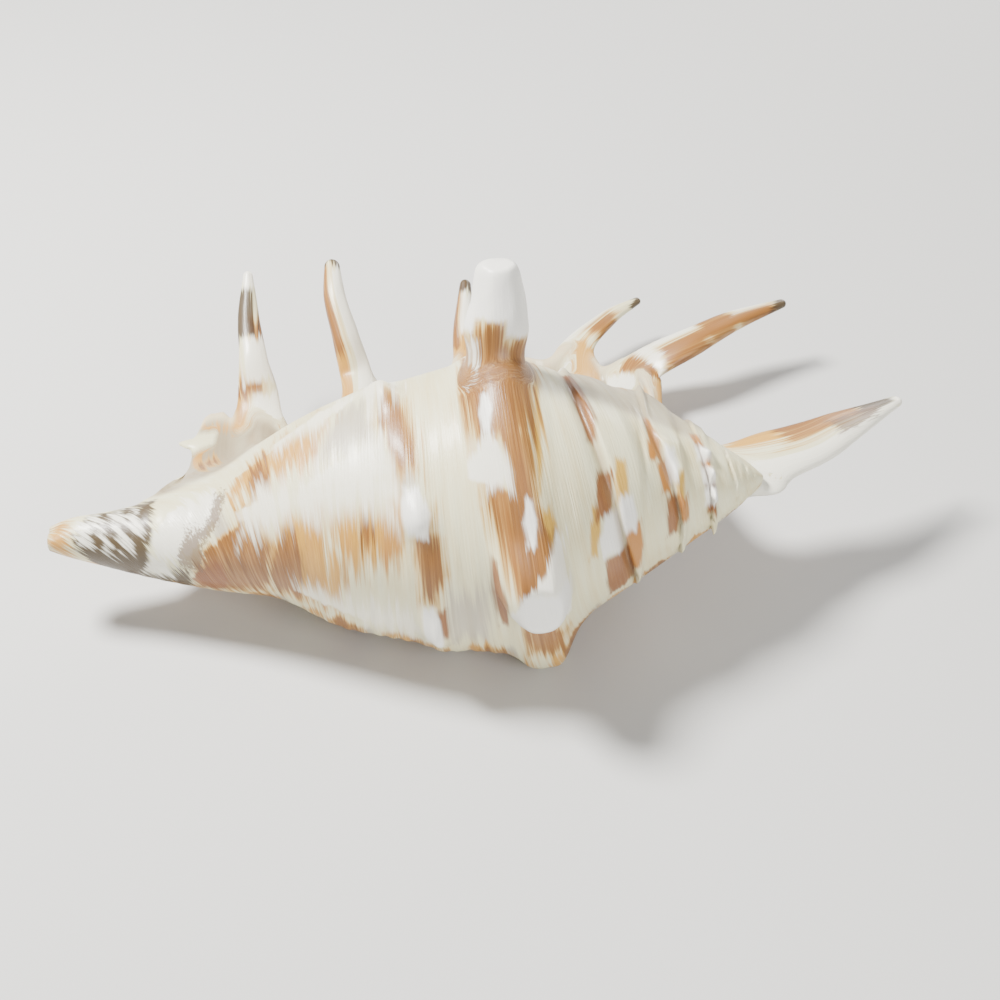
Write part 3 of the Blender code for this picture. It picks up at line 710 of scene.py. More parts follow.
# pigment on the body, and painted shade in the grey patches. Each patch: its tone, then angle, middle x and
# half width in mm at stations along it
bodyPatches = dict(
    ridgeTop=("brown", [(64, 0.6, 6.4), (83, -0.2, 6.8), (95, -0.6, 6.6), (106, -0.2, 6.2),
                        (115, 0.3, 5.4)]),
    ridgeNeck=("brown", [(112, 2.2, 3.6), (124, 3.2, 2.7), (132, 3.3, 2.3), (139, 3.4, 2.3),
                         (146, 3.5, 3.5)]),
    ridgeLow=("brown", [(130, -2.8, 0.9), (132, -2.3, 1.4), (139, 0.6, 3.7), (150, 3.5, 4.9),
                        (159, 4.6, 4.6), (166, 3.4, 2.3), (171, 4.1, 1.4)]),
    ridgeOval=("enamel", [(101, -3.1, 0.7), (105, -3.1, 1.2), (110, -3.1, 0.7)]),
    ridgeStreak=("white", [(83, -4.9, 0.5), (86, -5.2, 0.7), (88, -5.6, 0.4)]),
    ridgeBlot=("white", [(116, -3.6, 2.0), (117, -3.1, 2.4), (122, -3.1, 3.5), (128, -2.7, 3.7),
                         (131, -1.3, 2.3)]),
    ridgePale=("pale", [(120, 3.6, 0.7), (127, 3.4, 1.3), (133, 3.6, 1.0)]),
    ridgeSpot=("enamel", [(140, 4.2, 0.6), (145, 4.3, 1.2), (150, 4.4, 0.6)]),
    # painted shade in grey beside the ridge's top
    ridgeTopShade=("grey", [(93, -5.2, 1.8), (103, -4.8, 2.0)]),
    ridgeGold=("gold", [(143, 7.2, 0.8), (149, 7.6, 1.5), (156, 7.9, 1.5)]),
    ridgeEdge=("gold", [(78, 7.0, 0.5), (86, 7.0, 0.6), (116, 6.4, 0.6), (135, 6.2, 0.5)]),
    toe=("enamel", [(168, 6.8, 5.0), (171, 6.6, 5.4), (176, 6.2, 6.0), (182, 6.0, 5.8)]),
    toeFinger=("white", [(155, 9.2, 1.2), (160, 8.6, 1.9), (165, 7.4, 3.4), (170, 6.6, 4.6),
                         (176, 6.2, 5.0)]),
    toeWedge=("umber", [(160, -2.4, 0.5), (164, -2.2, 0.7), (172, -1.5, 1.3), (181, -1.0, 1.2),
                        (188, -0.6, 0.7)]),
    toeFlank=("brown", [(187, 5.8, 2.4), (193, 6.9, 3.4), (204, 7.4, 3.1)]),
    cordTop=("milk", [(60, -23.9, 3.6), (74, -23.2, 4.0), (82, -22.3, 2.5)]),
    cordBand=("brown", [(81, -21.9, 1.6), (84, -21.4, 2.1), (96, -20.3, 2.7), (109, -18.9, 2.5),
                        (118, -18.2, 2.0)]),
    # painted shade in grey along the cord
    cordShade=("grey", [(110, -18.9, 1.6), (123, -18.1, 2.1), (133, -18.0, 1.9)]),
    cordKnob=("enamel", [(131, -17.2, 1.6), (134, -17.1, 2.1), (140, -16.6, 2.6), (147, -16.6, 2.0)]),
    cordLow=("brown", [(147, -16.0, 1.4), (149, -15.7, 2.2), (156, -15.3, 2.4), (165, -14.5, 2.2),
                       (174, -15.0, 1.1)]),
    cordFoot=("enamel", [(183, -14.9, 1.3), (186, -14.6, 1.7), (194, -14.2, 1.9), (199, -13.7, 1.4)]),
    cordSpot=("umber", [(184, -12.5, 0.8), (192, -12.4, 1.0)]),
    bigWhite=("milk", [(120, -35.0, 12.5), (123, -35.6, 15.2), (129, -35.9, 15.2), (133, -36.0, 14.0)]),
    bigWhiteUpper=("milk", [(108, -25.6, 3.4), (114, -27.6, 7.0), (120, -29.4, 9.2), (126, -30.0, 9.4)]),
    # painted shade in grey on the upper body
    upperShade=("grey", [(80, -28.7, 2.6), (93, -29.2, 4.6), (105, -29.3, 5.6)]),
    upperTan=("tan", [(82, -37.5, 4.5), (86, -39.2, 6.4), (89, -42.7, 9.0), (102, -44.5, 8.8),
                      (108, -45.0, 8.0)]),
    blotch=("brown", [(90, -47.4, 1.6), (105, -47.0, 2.3), (117, -46.8, 1.7)]),
    crest=("milk", [(66, -28.5, 2.8), (70, -30.6, 3.4), (76, -35.2, 4.2), (80, -38.8, 5.0)]),
    flameOne=("tan", [(137, -23.8, 4.4), (147, -23.9, 4.9), (158, -24.1, 3.2)]),
    flameTwo=("tan", [(136, -29.9, 3.0), (152, -29.2, 3.2), (163, -28.9, 1.6)]),
    flameThree=("tan", [(158, -31.9, 2.4), (173, -32.9, 2.6), (190, -33.6, 1.6)]),
    flameFour=("tan", [(131, -37.4, 3.4), (149, -39.0, 5.0), (165, -39.6, 6.4), (188, -38.0, 4.6)]),
    flameCore=("brown", [(139, -26.2, 1.0), (146, -26.0, 1.6), (154, -26.4, 0.8)]),
    flameRoot=("brown", [(146, -41.0, 1.6), (158, -41.5, 2.8), (176, -42.5, 3.6), (190, -42.5, 2.6)]),
    redFlank=("brown", [(134, -48.8, 2.6), (141, -50.3, 3.8), (154, -51.8, 6.7), (174, -52.8, 7.4),
                        (198, -54.0, 6.4)]),
    redDeep=("umber", [(170, -56.6, 1.6), (180, -57.6, 3.0), (194, -58.6, 3.6), (206, -58.0, 2.4)]),
    # the next two patches are painted shade in grey, the second low on the near side under the ridge
    shadeStreak=("grey", [(120, -55.8, 1.2), (138, -54.6, 1.9), (155, -53.2, 1.7)]),
    ridgeShade=("grey", [(176, -7.5, 3.4), (184, -7.3, 4.0), (200, -7.0, 3.4)]),
    lowWhite=("milk", [(190, -29.0, 11.0), (195, -25.4, 9.6), (202, -21.2, 6.0)]),
    canalDark=("dark", [(62, -76, 6.6), (95, -77.0, 7.2), (111, -77.0, 7.6), (153, -77.8, 8.0),
                        (193, -76.6, 6.6), (232, -75.0, 6.0)]),
    canalFlank=("dark", [(186, -65.0, 2.6), (202, -66.8, 4.4), (222, -66.0, 3.6)]),
    canalTip=("tan", [(60, -88.6, 2.0), (131, -88.7, 2.1), (200, -88.4, 2.2)]),
    canalWhite=("white", [(96, -60.0, 3.6), (105, -60.3, 5.6), (125, -62.4, 6.2), (147, -64.6, 4.5),
                          (162, -65.7, 2.9)]),
    canalLow=("white", [(171, -68.3, 1.7), (192, -68.9, 3.0)]),
    canalStreakOne=("white", [(82, -82.0, 0.9), (99, -80.6, 1.2)]),
    canalStreakTwo=("white", [(107, -83.6, 1.3), (142, -83.0, 1.3)]),
    canalStreakThree=("white", [(80, -77.4, 1.1), (95, -76.2, 1.7)]),
    canalStreakFour=("white", [(118, -76.8, 1.0), (148, -74.7, 1.3)]),
    canalStreakFive=("white", [(97, -73.8, 0.9), (124, -72.4, 1.1)]),
    canalStreakSix=("white", [(118, -80.0, 0.7), (150, -78.4, 0.9)]),
    canalSpeckle=("speckle", [(138, -60.8, 1.6), (150, -61.3, 2.2), (160, -61.5, 2.7), (171, -61.7, 2.1)]),
    canalMargin=("speckle", [(104, -55.4, 1.0), (124, -56.6, 1.3), (140, -59.0, 1.4)]),
    shoulderWedge=("umber", [(66, 13.9, 1.0), (87, 15.1, 1.3), (100, 16.4, 1.5), (110, 16.9, 1.1)]),
    firstBrown=("umber", [(130, 18.9, 1.5), (139, 18.6, 1.7), (147, 18.5, 1.5)]),
    firstWhite=("enamel", [(151, 20.0, 1.4), (159, 20.0, 2.2), (167, 20.4, 2.2)]),
    firstYellow=("gold", [(147, 16.9, 0.8), (156, 16.6, 1.1), (164, 16.4, 0.8)]),
    firstLow=("umber", [(172, 21.2, 2.3), (186, 22.3, 2.9), (197, 22.8, 2.4)]),
    secondGold=("gold", [(124, 22.2, 1.1), (132, 22.2, 1.4), (140, 22.3, 1.2)]),
    secondWhite=("enamel", [(143, 23.0, 1.4), (151, 23.4, 1.6), (156, 23.5, 1.3)]),
    secondBrown=("orange", [(158, 24.3, 1.4), (171, 24.9, 1.4), (183, 25.1, 1.0)]),
    thirdBrownOne=("orange", [(88, 28.6, 0.8), (103, 29.4, 1.1), (115, 29.5, 1.3)]),
    thirdBrownTwo=("orange", [(123, 30.9, 1.2), (132, 31.4, 1.3), (138, 31.3, 0.9)]),
    thirdBrownThree=("umber", [(148, 32.7, 1.3), (160, 32.9, 1.4), (172, 32.9, 1.1)]),
    thirdWhite=("enamel", [(113, 32.6, 0.9), (123, 33.1, 1.1), (130, 33.1, 0.8)]),
    fourthYellow=("gold", [(130, 34.3, 0.9), (145, 34.4, 0.9)]),
    fourthOrange=("orange", [(150, 35.0, 0.9), (163, 35.3, 0.9)]),
    beadOne=("orange", [(84, 38.6, 1.0), (92, 39.2, 1.0)]),
    beadTwo=("orange", [(114, 40.1, 1.1), (118, 40.3, 1.1)]),
    beadThree=("umber", [(138, 40.8, 1.1), (142, 41.0, 1.1)]),
    beadFour=("umber", [(164, 41.1, 1.1), (168, 41.2, 1.1)]),
    beadPaleOne=("enamel", [(101, 39.6, 1.4), (107, 39.8, 1.4)]),
    beadPaleTwo=("enamel", [(126, 40.4, 1.4), (131, 40.6, 1.4)]),
    beadPaleThree=("enamel", [(149, 40.8, 1.4), (156, 41.0, 1.4)]))

# pigment on the lip's outer face, and painted shade in lipShade and lipShadeTwo: tone, (x, y) of its middle,
# its half sizes in mm
lipPatches = dict(
    flangeBrown=("brown", (-60.4, 18.5), (1.6, 3.0)), valleyBrown=("tan", (-56.0, 34.5), (2.8, 2.2)),
    flangeEdge=("tan", (-63.6, 24.5), (1.4, 6.0)), flangeTop=("tan", (-60.6, 34.6), (2.8, 1.4)),
    # lipShade and lipShadeTwo are painted shade, in grey and in tan, on the lip near the fifth horn's root
    lipShade=("grey", (33.5, 55.5), (6.0, 3.6)), lipShadeTwo=("tan", (37.5, 50.0), (3.4, 3.0)),
    fleckOne=("white", (30.5, 61.8), (2.2, 1.2)), fleckTwo=("white", (27.5, 58.9), (1.6, 0.7)),
    rootBrown=("tan", (40.0, 60.0), (3.2, 3.0)), farTan=("tan", (2.0, 58.0), (5.0, 4.0)),
    farTanTwo=("tan", (-17.0, 44.0), (4.0, 5.0)), farTanThree=("tan", (-40.0, 26.0), (3.0, 5.0)))

# pigment on the horns: horn, tone, from and to along it (0 root, 1 tip), from and to across it (-1 to 1)
hornPatches = [
    ("hornOne", "white", 0.92, 1.1, -2, 2), ("hornOne", "dark", 0.64, 0.91, -2, 0.45),
    ("hornOne", "brown", 0.60, 0.70, 0.2, 2), ("hornOne", "white", 0.42, 0.61, -0.5, 2),
    ("hornOne", "brown", 0.36, 0.41, -2, 0.2), ("hornOne", "tan", 0.12, 0.38, -2, -0.45),
    ("hornOne", "white", 0.16, 0.34, -0.2, 2), ("hornOne", "tan", -0.3, 0.13, -2, 2),
    ("hornTwo", "dark", 0.94, 1.1, -2, 2), ("hornTwo", "brown", 0.50, 0.95, -2, -0.35),
    ("hornTwo", "white", 0.10, 0.92, -0.1, 2), ("hornTwo", "brown", 0.57, 0.63, 0.55, 2),
    ("hornTwo", "tan", 0.0, 0.50, -2, -0.25), ("hornTwo", "tan", -0.3, 0.16, -2, 0.6),
    ("hornThree", "dark", 0.90, 1.1, -2, 2), ("hornThree", "brown", 0.48, 0.92, -2, -0.5),
    ("hornThree", "white", 0.60, 0.88, -0.3, 2), ("hornThree", "tan", 0.1, 0.58, -2, 2),
    ("hornFour", "dark", 0.93, 1.1, -2, 2), ("hornFour", "brown", 0.62, 0.78, -0.2, 2),
    ("hornFour", "tan", 0.12, 0.55, -0.2, 2), ("hornFour", "white", 0.1, 0.94, -2, -0.45),
    ("hornFive", "brown", 0.29, 0.39, -0.8, 2), ("hornFive", "white", 0.06, 0.28, -2, 0.3),
    ("hornFive", "tan", -0.2, 0.28, 0.45, 2), ("hornFive", "white", 0.40, 0.455, -2, 2),
    ("hornFive", "brown", 0.47, 0.63, -0.1, 2), ("hornFive", "white", 0.46, 0.62, -2, -0.3),
    ("hornFive", "brown", 0.63, 0.77, -2, 2), ("hornFive", "brown", 0.77, 0.93, 0.0, 2),
    ("hornFive", "white", 0.78, 0.92, -2, -0.15), ("hornFive", "dark", 0.94, 1.1, -2, 2),
    ("hornSix", "tan", 0.16, 0.46, -2, -0.15), ("hornSix", "brown", 0.42, 0.80, -2, -0.05),
    ("hornSix", "dark", 0.78, 0.96, -2, 0.35), ("hornSix", "white", 0.2, 0.97, 0.35, 2),
    ("hornSix", "speckle", 0.64, 0.86, -0.3, 0.55), ("hornSix", "white", 0.965, 1.1, -0.4, 2),
    ("apexFlange", "white", -0.2, 1.1, -2, 2),
    ("shoulderHorn", "brown", -0.3, 0.57, -2, 2), ("shoulderHorn", "brown", -0.3, 0.655, -0.15, 0.75),
    ("shoulderHorn", "enamel", 0.59, 1.1, -2, -0.2), ("shoulderHorn", "enamel", 0.68, 1.1, -2, 2),
    ("shoulderHorn", "white", 0.40, 0.56, 0.66, 0.97), ("shoulderHorn", "enamel", 0.60, 1.1, 0.8, 2),
    ("shoulderHorn", "pale", 0.70, 0.86, -0.25, 0.15)]

tones = ["brown", "umber", "dark", "gold", "orange", "tan", "white", "enamel", "milk", "pale", "grey",
         "speckle"]
# flames on the sides that the patches leave bare: tone, seed, level; then their steepness in mm, and how fast
# their waves run across, round and along a slope of the shell, and over the lip
strayFlames = dict(body=[("brown", 1.7, 0.30), ("tan", 4.1, 0.12), ("grey", 7.7, 0.25)],
                   lip=[("tan", 2.9, 0.22), ("brown", 5.3, 0.62), ("white", 9.1, 0.55)],
                   height=4.5, across=0.42, round=0.055, slope=0.05, lipRound=2.2)
# pigment streaks run round the body, on a circle of radius mm; slant is how many mm they shift along X in
# each degree round it, by x
streaks = dict(radius=10, slant=([-91, -76, -54, -40, -25, -10, 4, 16, 30, 45],
                                 [0.13, 0.13, 0.08, 0.04, 0.0, 0.03, 0.07, 0.09, 0.06, 0.03]))
# fields in mm: the least and greatest, and how much they drop where a patch doesn't belong: on the other
# surface, inside, and on the lip towards the spire and the canal
fieldLimits, drops = (-4.0, 4.0), dict(otherSurface=6, inside=8, lipSpire=3, lipCanal=8)
# where masks rise and fall: along x in mm, round the shell in degrees, or over a share of 0 to 1; the widths
# of rim and crease, and how strong the painted shade in the lip's sheet colour is where it lies over the body
fades = dict(
    lip=((-73, -69), (40, 44)), lipToBody=(0.78, 0.96), rimWidth=0.07, bareSide=(62, 84), inside=(0.15, 0.6),
    lipSpire=(20, 30), lipCanal=(-48, -40), threadX=(-86, -70), threadRound=((-70, -48), (90, 120)),
    creaseX=((11, 13), (44, 47)), creaseUnder=(200, 225), creaseWidth=0.022,
    # painted shade in the lip's sheet colour, laid over the far side of the body near the spire: strength, x
    # and angles
    bodyShade=0.85, bodyShadeX=((10, 15), (34, 42)), bodyShadeRound=((20, 40), (80, 92)),
    channelOver=(0.45, 0.8), channelEnd=(0.75, 0.95))
# the middle of the upper side, in degrees round the shell
topAngle = 130


# how far inside a patch of the body a point lies, in mm: the lesser of half width - |x - middle|, and 0.45 of
# the way round to its nearer end + 0.5
def bodyField(stations, x, angle, radius):
    a, middle, half = np.array(stations, float).T
    across = np.interp(angle, a, half) - np.abs(x - np.interp(angle, a, middle))
    ends = np.minimum(angle - a[0], a[-1] - angle) * np.radians(radius) * 0.45 + 0.5
    return np.minimum(across, ends)


# how far inside a patch of the lip a point lies: (1 - distance in half sizes) times the smaller half size
def lipField(middle, half, x, y):
    return (1 - np.hypot((x - middle[0]) / half[0], (y - middle[1]) / half[1])) * min(half)


# how far inside a patch of a horn a point lies, in mm: the least of 0.6 of the two ways out along it and the
# two ways out across it
def hornField(patch, length, width, s, side):
    _, _, s0, s1, side0, side1 = patch
    along = np.minimum(s - s0, s1 - s) * length * 0.6
    return np.minimum(along, np.minimum(side - side0, side1 - side) * width)


# flames in no particular place: height (waves - level), in mm
def strayField(x, angle, seed, level):
    waves = ripple(strayFlames["across"] * x, strayFlames["round"] * angle + strayFlames["slope"] * x, seed)
    return strayFlames["height"] * (waves - level)


# what each point knows of its piece: how much it is inside, how far across the lip, whether a horn is near,
# that horn's values, and the horn's share, from 0 on the shell to 1 on the horn
def pointSources(points, ends):
    source = sourceOf(pointsUnited, pointsBefore)
    known = source >= 0
    values = np.zeros((len(points), 6))
    values[known] = pieceValues()[source[known]]
    isHorn, isShell = known & (values[:, 0] >= 0), known & (values[:, 0] < 0)
    _, fromShell = spreadValues(ends, isShell, values, 6)
    nearHorn, fromHorn = spreadValues(ends, isHorn, values, 12)
    joint = spreadValues(ends, known, np.where(isHorn, 1.0, 0.0)[:, None], 4)[1][:, 0]
    inside = np.where(isHorn, 0.0, np.clip(fromShell[:, 4], 0, 1))
    return inside, np.clip(fromShell[:, 5], 0, 1), nearHorn, fromHorn, softened(ends, joint, 8)


# a field for each tone on the shell: its greatest patch or stray flame, less the drop where they don't belong
def shellFields(x, y, angle, radius, lipTop, inside):
    fields = {tone: np.full(len(x), fieldLimits[0]) for tone in tones}

    def lay(tone, field):
        fields[tone] = np.maximum(fields[tone], field)

    for tone, stations in bodyPatches.values():
        lay(tone, bodyField(stations, x, angle, np.clip(radius, 6, 40)))
    seen = 1 - ease(awayFrom(angle, topAngle), *fades["bareSide"])
    for tone, seed, level in strayFlames["body"]:
        lay(tone, strayField(x, angle, seed, level) - drops["otherSurface"] * seen)
    for tone in tones:
        fields[tone] = fields[tone] - drops["otherSurface"] * lipTop
    offLip = drops["otherSurface"] * (1 - lipTop)
    calm = drops["lipSpire"] * ease(x, *fades["lipSpire"])
    calm = calm + drops["lipCanal"] * (1 - ease(x, *fades["lipCanal"]))
    for tone, seed, level in strayFlames["lip"]:
        lay(tone, strayField(x, strayFlames["lipRound"] * y, seed, level) - offLip - calm)
    for tone, middle, half in lipPatches.values():
        lay(tone, lipField(middle, half, x, y) - offLip)
    hidden = drops["inside"] * ease(inside, *fades["inside"])
    return {tone: field - hidden for tone, field in fields.items()}


# the same for the horns, with their streaks along them, root + (0.9 side width, 0.16 length s, 1.5 over), or
# the shell's own where no horn is near, and the channel along a horn's underside
def hornFields(shellStreak, nearHorn, fromHorn):
    fields = {tone: np.full(len(shellStreak), fieldLimits[0]) for tone in tones}
    streak, channel = shellStreak.copy(), np.zeros(len(shellStreak))
    for i, (name, horn) in enumerate(horns.items()):
        here = nearHorn & (np.abs(fromHorn[:, 0] - i) < 0.5)
        s, side, over = fromHorn[here, 1], fromHorn[here, 2], fromHorn[here, 3]
        path, length = hornStations(horn)[:2]
        width = np.interp(s, np.linspace(0, 1, len(horn["wide"])), horn["wide"])
        for patch in hornPatches:
            if patch[0] == name:
                field = fields[patch[1]]
                field[here] = np.maximum(field[here], hornField(patch, length, width, s, side))
        root = np.array([path[0][0], 10.0 * (i + 1), 5.0])
        streak[here] = root + np.stack([side * width * 0.9, 0.16 * length * s, over * 1.5], -1)
        opened = (name != "shoulderHorn") * (1 - ease(s, *fades["channelEnd"]))
        channel[here] = ease(-over, *fades["channelOver"]) * opened
    return fields, streak, channel


# every field and the streak space: shell + (horn - shell) share, and masks for the inside, the lip's sheet
# with its painted shade on the body, the rim, the threads and the dark crease along each suture
def paintedFields(points, ends):
    inside, across, nearHorn, fromHorn, share = pointSources(points, ends)
    x, y, height = points[:, 0], points[:, 1], points[:, 2] - through(points[:, 0], *coil["axis"])
    radius, angle = np.hypot(y, height), np.degrees(np.arctan2(height, y)) % 360
    fromTop, offHorn = awayFrom(angle, topAngle), 1 - share
    onLip = between(x, *fades["lip"])
    lipTop = (1 - ease(across, *fades["lipToBody"])) * (1 - inside) * onLip

    turned, slanted = np.radians(angle), x - through(x, *streaks["slant"]) * fromTop
    streak = np.stack([slanted, streaks["radius"] * np.cos(turned), streaks["radius"] * np.sin(turned)], -1)
    fields = shellFields(x, y, angle, radius, lipTop, inside)
    hornTones, hornStreak, channel = hornFields(streak, nearHorn, fromHorn)
    for tone in tones:
        fields[tone] = np.clip(fields[tone] + (hornTones[tone] - fields[tone]) * share, *fieldLimits)
    streak += (hornStreak - streak) * share[:, None]

    inside = np.maximum(inside * offHorn, channel * share)
    body = (1 - inside) * offHorn
    # painted shade in the sheet colour over the far side of the body near the spire
    bodyShade = fades["bodyShade"] * between(x, *fades["bodyShadeX"]) * between(angle, *fades["bodyShadeRound"])
    phase = whorlTurns(x, angle) % 1.0
    crease = bump(np.minimum(phase, 1 - phase), 0, fades["creaseWidth"]) * between(x, *fades["creaseX"])
    fields.update(
        inside=inside, rim=bump(across, 0, fades["rimWidth"]) * offHorn * onLip,
        lipSheet=np.maximum(lipTop, bodyShade * (1 - inside)) * offHorn,
        thread=between(fromTop, *fades["threadRound"]) * body * ease(x, *fades["threadX"]),
        crease=crease * (1 - lipTop) * body * (1 - ease(angle, *fades["creaseUnder"])))
    return fields, streak


# attributes of the mesh: a number called NAMEField for each field, and the vector streakSpace
def storeFields(mesh, fields, streak):
    for name, value in fields.items():
        attribute = mesh.attributes.new(name + "Field", "FLOAT", "POINT")
        attribute.data.foreach_set("value", value.astype(np.float32))
    attribute = mesh.attributes.new("streakSpace", "FLOAT_VECTOR", "POINT")
    attribute.data.foreach_set("vector", streak.astype(np.float32).ravel())


# places in metres about the origin, (point - shellMiddle) * mm, held inside the frame's box
def finishedPlaces(points):
    return np.clip((points - shellMiddle) * mm, np.array(cadBox[0]), np.array(cadBox[1]))


allFields, streakSpace = paintedFields(shellPoints, edgeEnds(shellMesh))
storeFields(shellMesh, allFields, streakSpace)
shellMesh.vertices.foreach_set("co", finishedPlaces(shellPoints).astype(np.float32).ravel())
shellMesh.update()
shellMesh.shade_smooth()
shell = bpy.data.objects.new("spiderConchShell", shellMesh)
bpy.context.scene.collection.objects.link(shell)
# the patches counted include those of painted shade
print("pigment laid down:", len(bodyPatches) + len(lipPatches) + len(hornPatches), "patches")

# colours are linear; reach is how far streaks push a patch's edge, soft how wide the edge fades, both in mm
glaze = dict(
    # sheet is the colour of the lip's outer face, also laid as painted shade over the body near the spire
    cream=(0.78, 0.75, 0.50), yellow=(0.62, 0.46, 0.15), sheetAndShade=(0.25, 0.185, 0.12), rim=(0.80, 0.70, 0.46),
    warmth=0.50, crease=(0.20, 0.12, 0.065),
    inside=(0.78, 0.60, 0.42), insideDeep=(0.60, 0.31, 0.17), brownDeep=(0.10, 0.034, 0.010),
    brownLight=(0.47, 0.25, 0.075), tanDeep=(0.36, 0.135, 0.022),
    #           colour, reach, soft, strength; grey is a lilac-grey of painted shade, also laid in random
    #           flames
    grey=((0.33, 0.28, 0.27), 1.7, 1.6, 0.60), pale=((0.62, 0.45, 0.29), 0.9, 0.8, 0.85),
    tan=((0.61, 0.31, 0.04), 2.6, 1.5, 0.95), gold=((0.62, 0.36, 0.045), 0.45, 0.45, 0.95),
    orange=((0.44, 0.17, 0.022), 0.45, 0.4, 0.97), halo=((0.56, 0.30, 0.045), 1.9, 1.2, 0.85),
    brown=((0.26, 0.105, 0.021), 1.7, 0.8, 0.96), umber=((0.23, 0.080, 0.020), 0.5, 0.45, 0.96),
    dark=((0.052, 0.028, 0.012), 1.8, 0.6, 0.95), white=((0.90, 0.88, 0.76), 1.4, 0.7, 0.96),
    enamel=((0.90, 0.89, 0.83), 0.5, 0.45, 0.97), milk=((0.90, 0.87, 0.71), 2.3, 1.6, 0.94),
    speckle=((0.15, 0.085, 0.048), 1.0, 0.6, 0.8), haloWidth=0.9,
    # spacing and depths in mm
    threadSpacing=0.62, threadDepth=0.022, streakDepth=0.014, grainDepth=0.012,
    # roughness, its range, and what it loses on white and inside; coat outside and inside
    roughness=0.38, roughRange=(-0.08, 0.14), whitePolish=0.10, polish=0.16,
    coat=(0.12, 0.6), coatRoughness=0.18,
    # noises: waves in each mm across and along the streaks, and detail
    broad=(0.22, 0.10, 3.0), fine=(0.9, 0.09, 3.0), hair=(3.2, 0.16, 2.0), speck=(2.6, 1.6, 2.0))


# new node with its settings; inputs are numbers, colours or sockets to link
def addNode(tree, kind, inputs=None, **settings):
    node = tree.nodes.new(kind)
    for key, value in settings.items():
        setattr(node, key, value)
    for key, value in (inputs or {}).items():
        if isinstance(value, bpy.types.NodeSocket):
            tree.links.new(value, node.inputs[key])
        else:
            node.inputs[key].default_value = value
    return node


# a op b, or a op b and c
def addMath(tree, operation, a, b=0.0, c=0.0):
    return addNode(tree, "ShaderNodeMath", {0: a, 1: b, 2: c}, operation=operation).outputs[0]


# colour a + (b - a) factor
def addMix(tree, factor, a, b):
    inputs = {0: factor}
    for key, value in ((6, a), (7, b)):
        inputs[key] = value if isinstance(value, bpy.types.NodeSocket) else (*value, 1)
    return addNode(tree, "ShaderNodeMix", inputs, data_type="RGBA").outputs[2]


# first + (last - first) (value - low) / (high - low), held at its ends
def addRange(tree, value, low, high, first=0.0, last=1.0):
    return addNode(tree, "ShaderNodeMapRange", {0: value, 1: low, 2: high, 3: first, 4: last}).outputs[0]


# empty node group with named inputs, numbers unless their value is None for a vector, and one output
def newGroup(name, inputs, output):
    group = bpy.data.node_groups.new(name, "ShaderNodeTree")
    for label, value in inputs.items():
        kind = "NodeSocketVector" if value is None else "NodeSocketFloat"
        socket = group.interface.new_socket(label, in_out="INPUT", socket_type=kind)
        if value is not None:
            socket.default_value = value
    group.interface.new_socket(output, in_out="OUTPUT", socket_type="NodeSocketFloat")
    take, give = group.nodes.new("NodeGroupInput").outputs, group.nodes.new("NodeGroupOutput").inputs
    return group, take, give


# noise drawn out along the streaks: 4 noise(Space * (Across, Along, Along)) - 2
def streakNoiseGroup():
    group, take, give = newGroup("streakNoise", dict(Space=None, Across=1.0, Along=0.1, Detail=3.0), "Value")
    stretch = {0: take["Across"], 1: take["Along"], 2: take["Along"]}
    scale = addNode(group, "ShaderNodeCombineXYZ", stretch).outputs[0]
    factors = {0: take["Space"], 1: scale}
    space = addNode(group, "ShaderNodeVectorMath", factors, operation="MULTIPLY").outputs[0]
    settings = {"Vector": space, "Scale": 1.0, "Detail": take["Detail"], "Roughness": 0.62}
    noise = addNode(group, "ShaderNodeTexNoise", settings).outputs["Fac"]
    group.links.new(addMath(group, "MULTIPLY_ADD", noise, 4.0, -2.0), give["Value"])
    return group


# mask of a patch: Strength (3t^2 - 2t^3), t = (Field + Streak Reach + Soft) / (2 Soft), lengths in mm
def raggedMaskGroup():
    inputs = dict(Field=0.0, Streak=0.0, Reach=1.0, Soft=0.5, Strength=1.0)
    group, take, give = newGroup("raggedMask", inputs, "Mask")
    pushed = addMath(group, "MULTIPLY_ADD", take["Streak"], take["Reach"], take["Field"])
    low = addMath(group, "MULTIPLY", take["Soft"], -1.0)
    limits = {0: pushed, 1: low, 2: take["Soft"], 3: 0.0, 4: take["Strength"]}
    mask = addNode(group, "ShaderNodeMapRange", limits, interpolation_type="SMOOTHSTEP").outputs[0]
    group.links.new(mask, give["Mask"])
    return group


# fine spiral threads: 0.5 + 0.5 sin(2 pi (x + 0.35 Bend) / Spacing)
def threadGroup():
    group, take, give = newGroup("spiralThreads", dict(Space=None, Bend=0.0, Spacing=0.6), "Height")
    x = addNode(group, "ShaderNodeSeparateXYZ", {0: take["Space"]}).outputs[0]
    bent = addMath(group, "MULTIPLY_ADD", take["Bend"], 0.35, x)
    turns = addMath(group, "DIVIDE", bent, take["Spacing"])
    wave = addMath(group, "SINE", addMath(group, "MULTIPLY", turns, 2 * np.pi))
    group.links.new(addMath(group, "MULTIPLY_ADD", wave, 0.5, 0.5), give["Height"])
    return group


# value of one of the mesh's fields
def addField(tree, name):
    return addNode(tree, "ShaderNodeAttribute", attribute_name=name + "Field").outputs["Fac"]


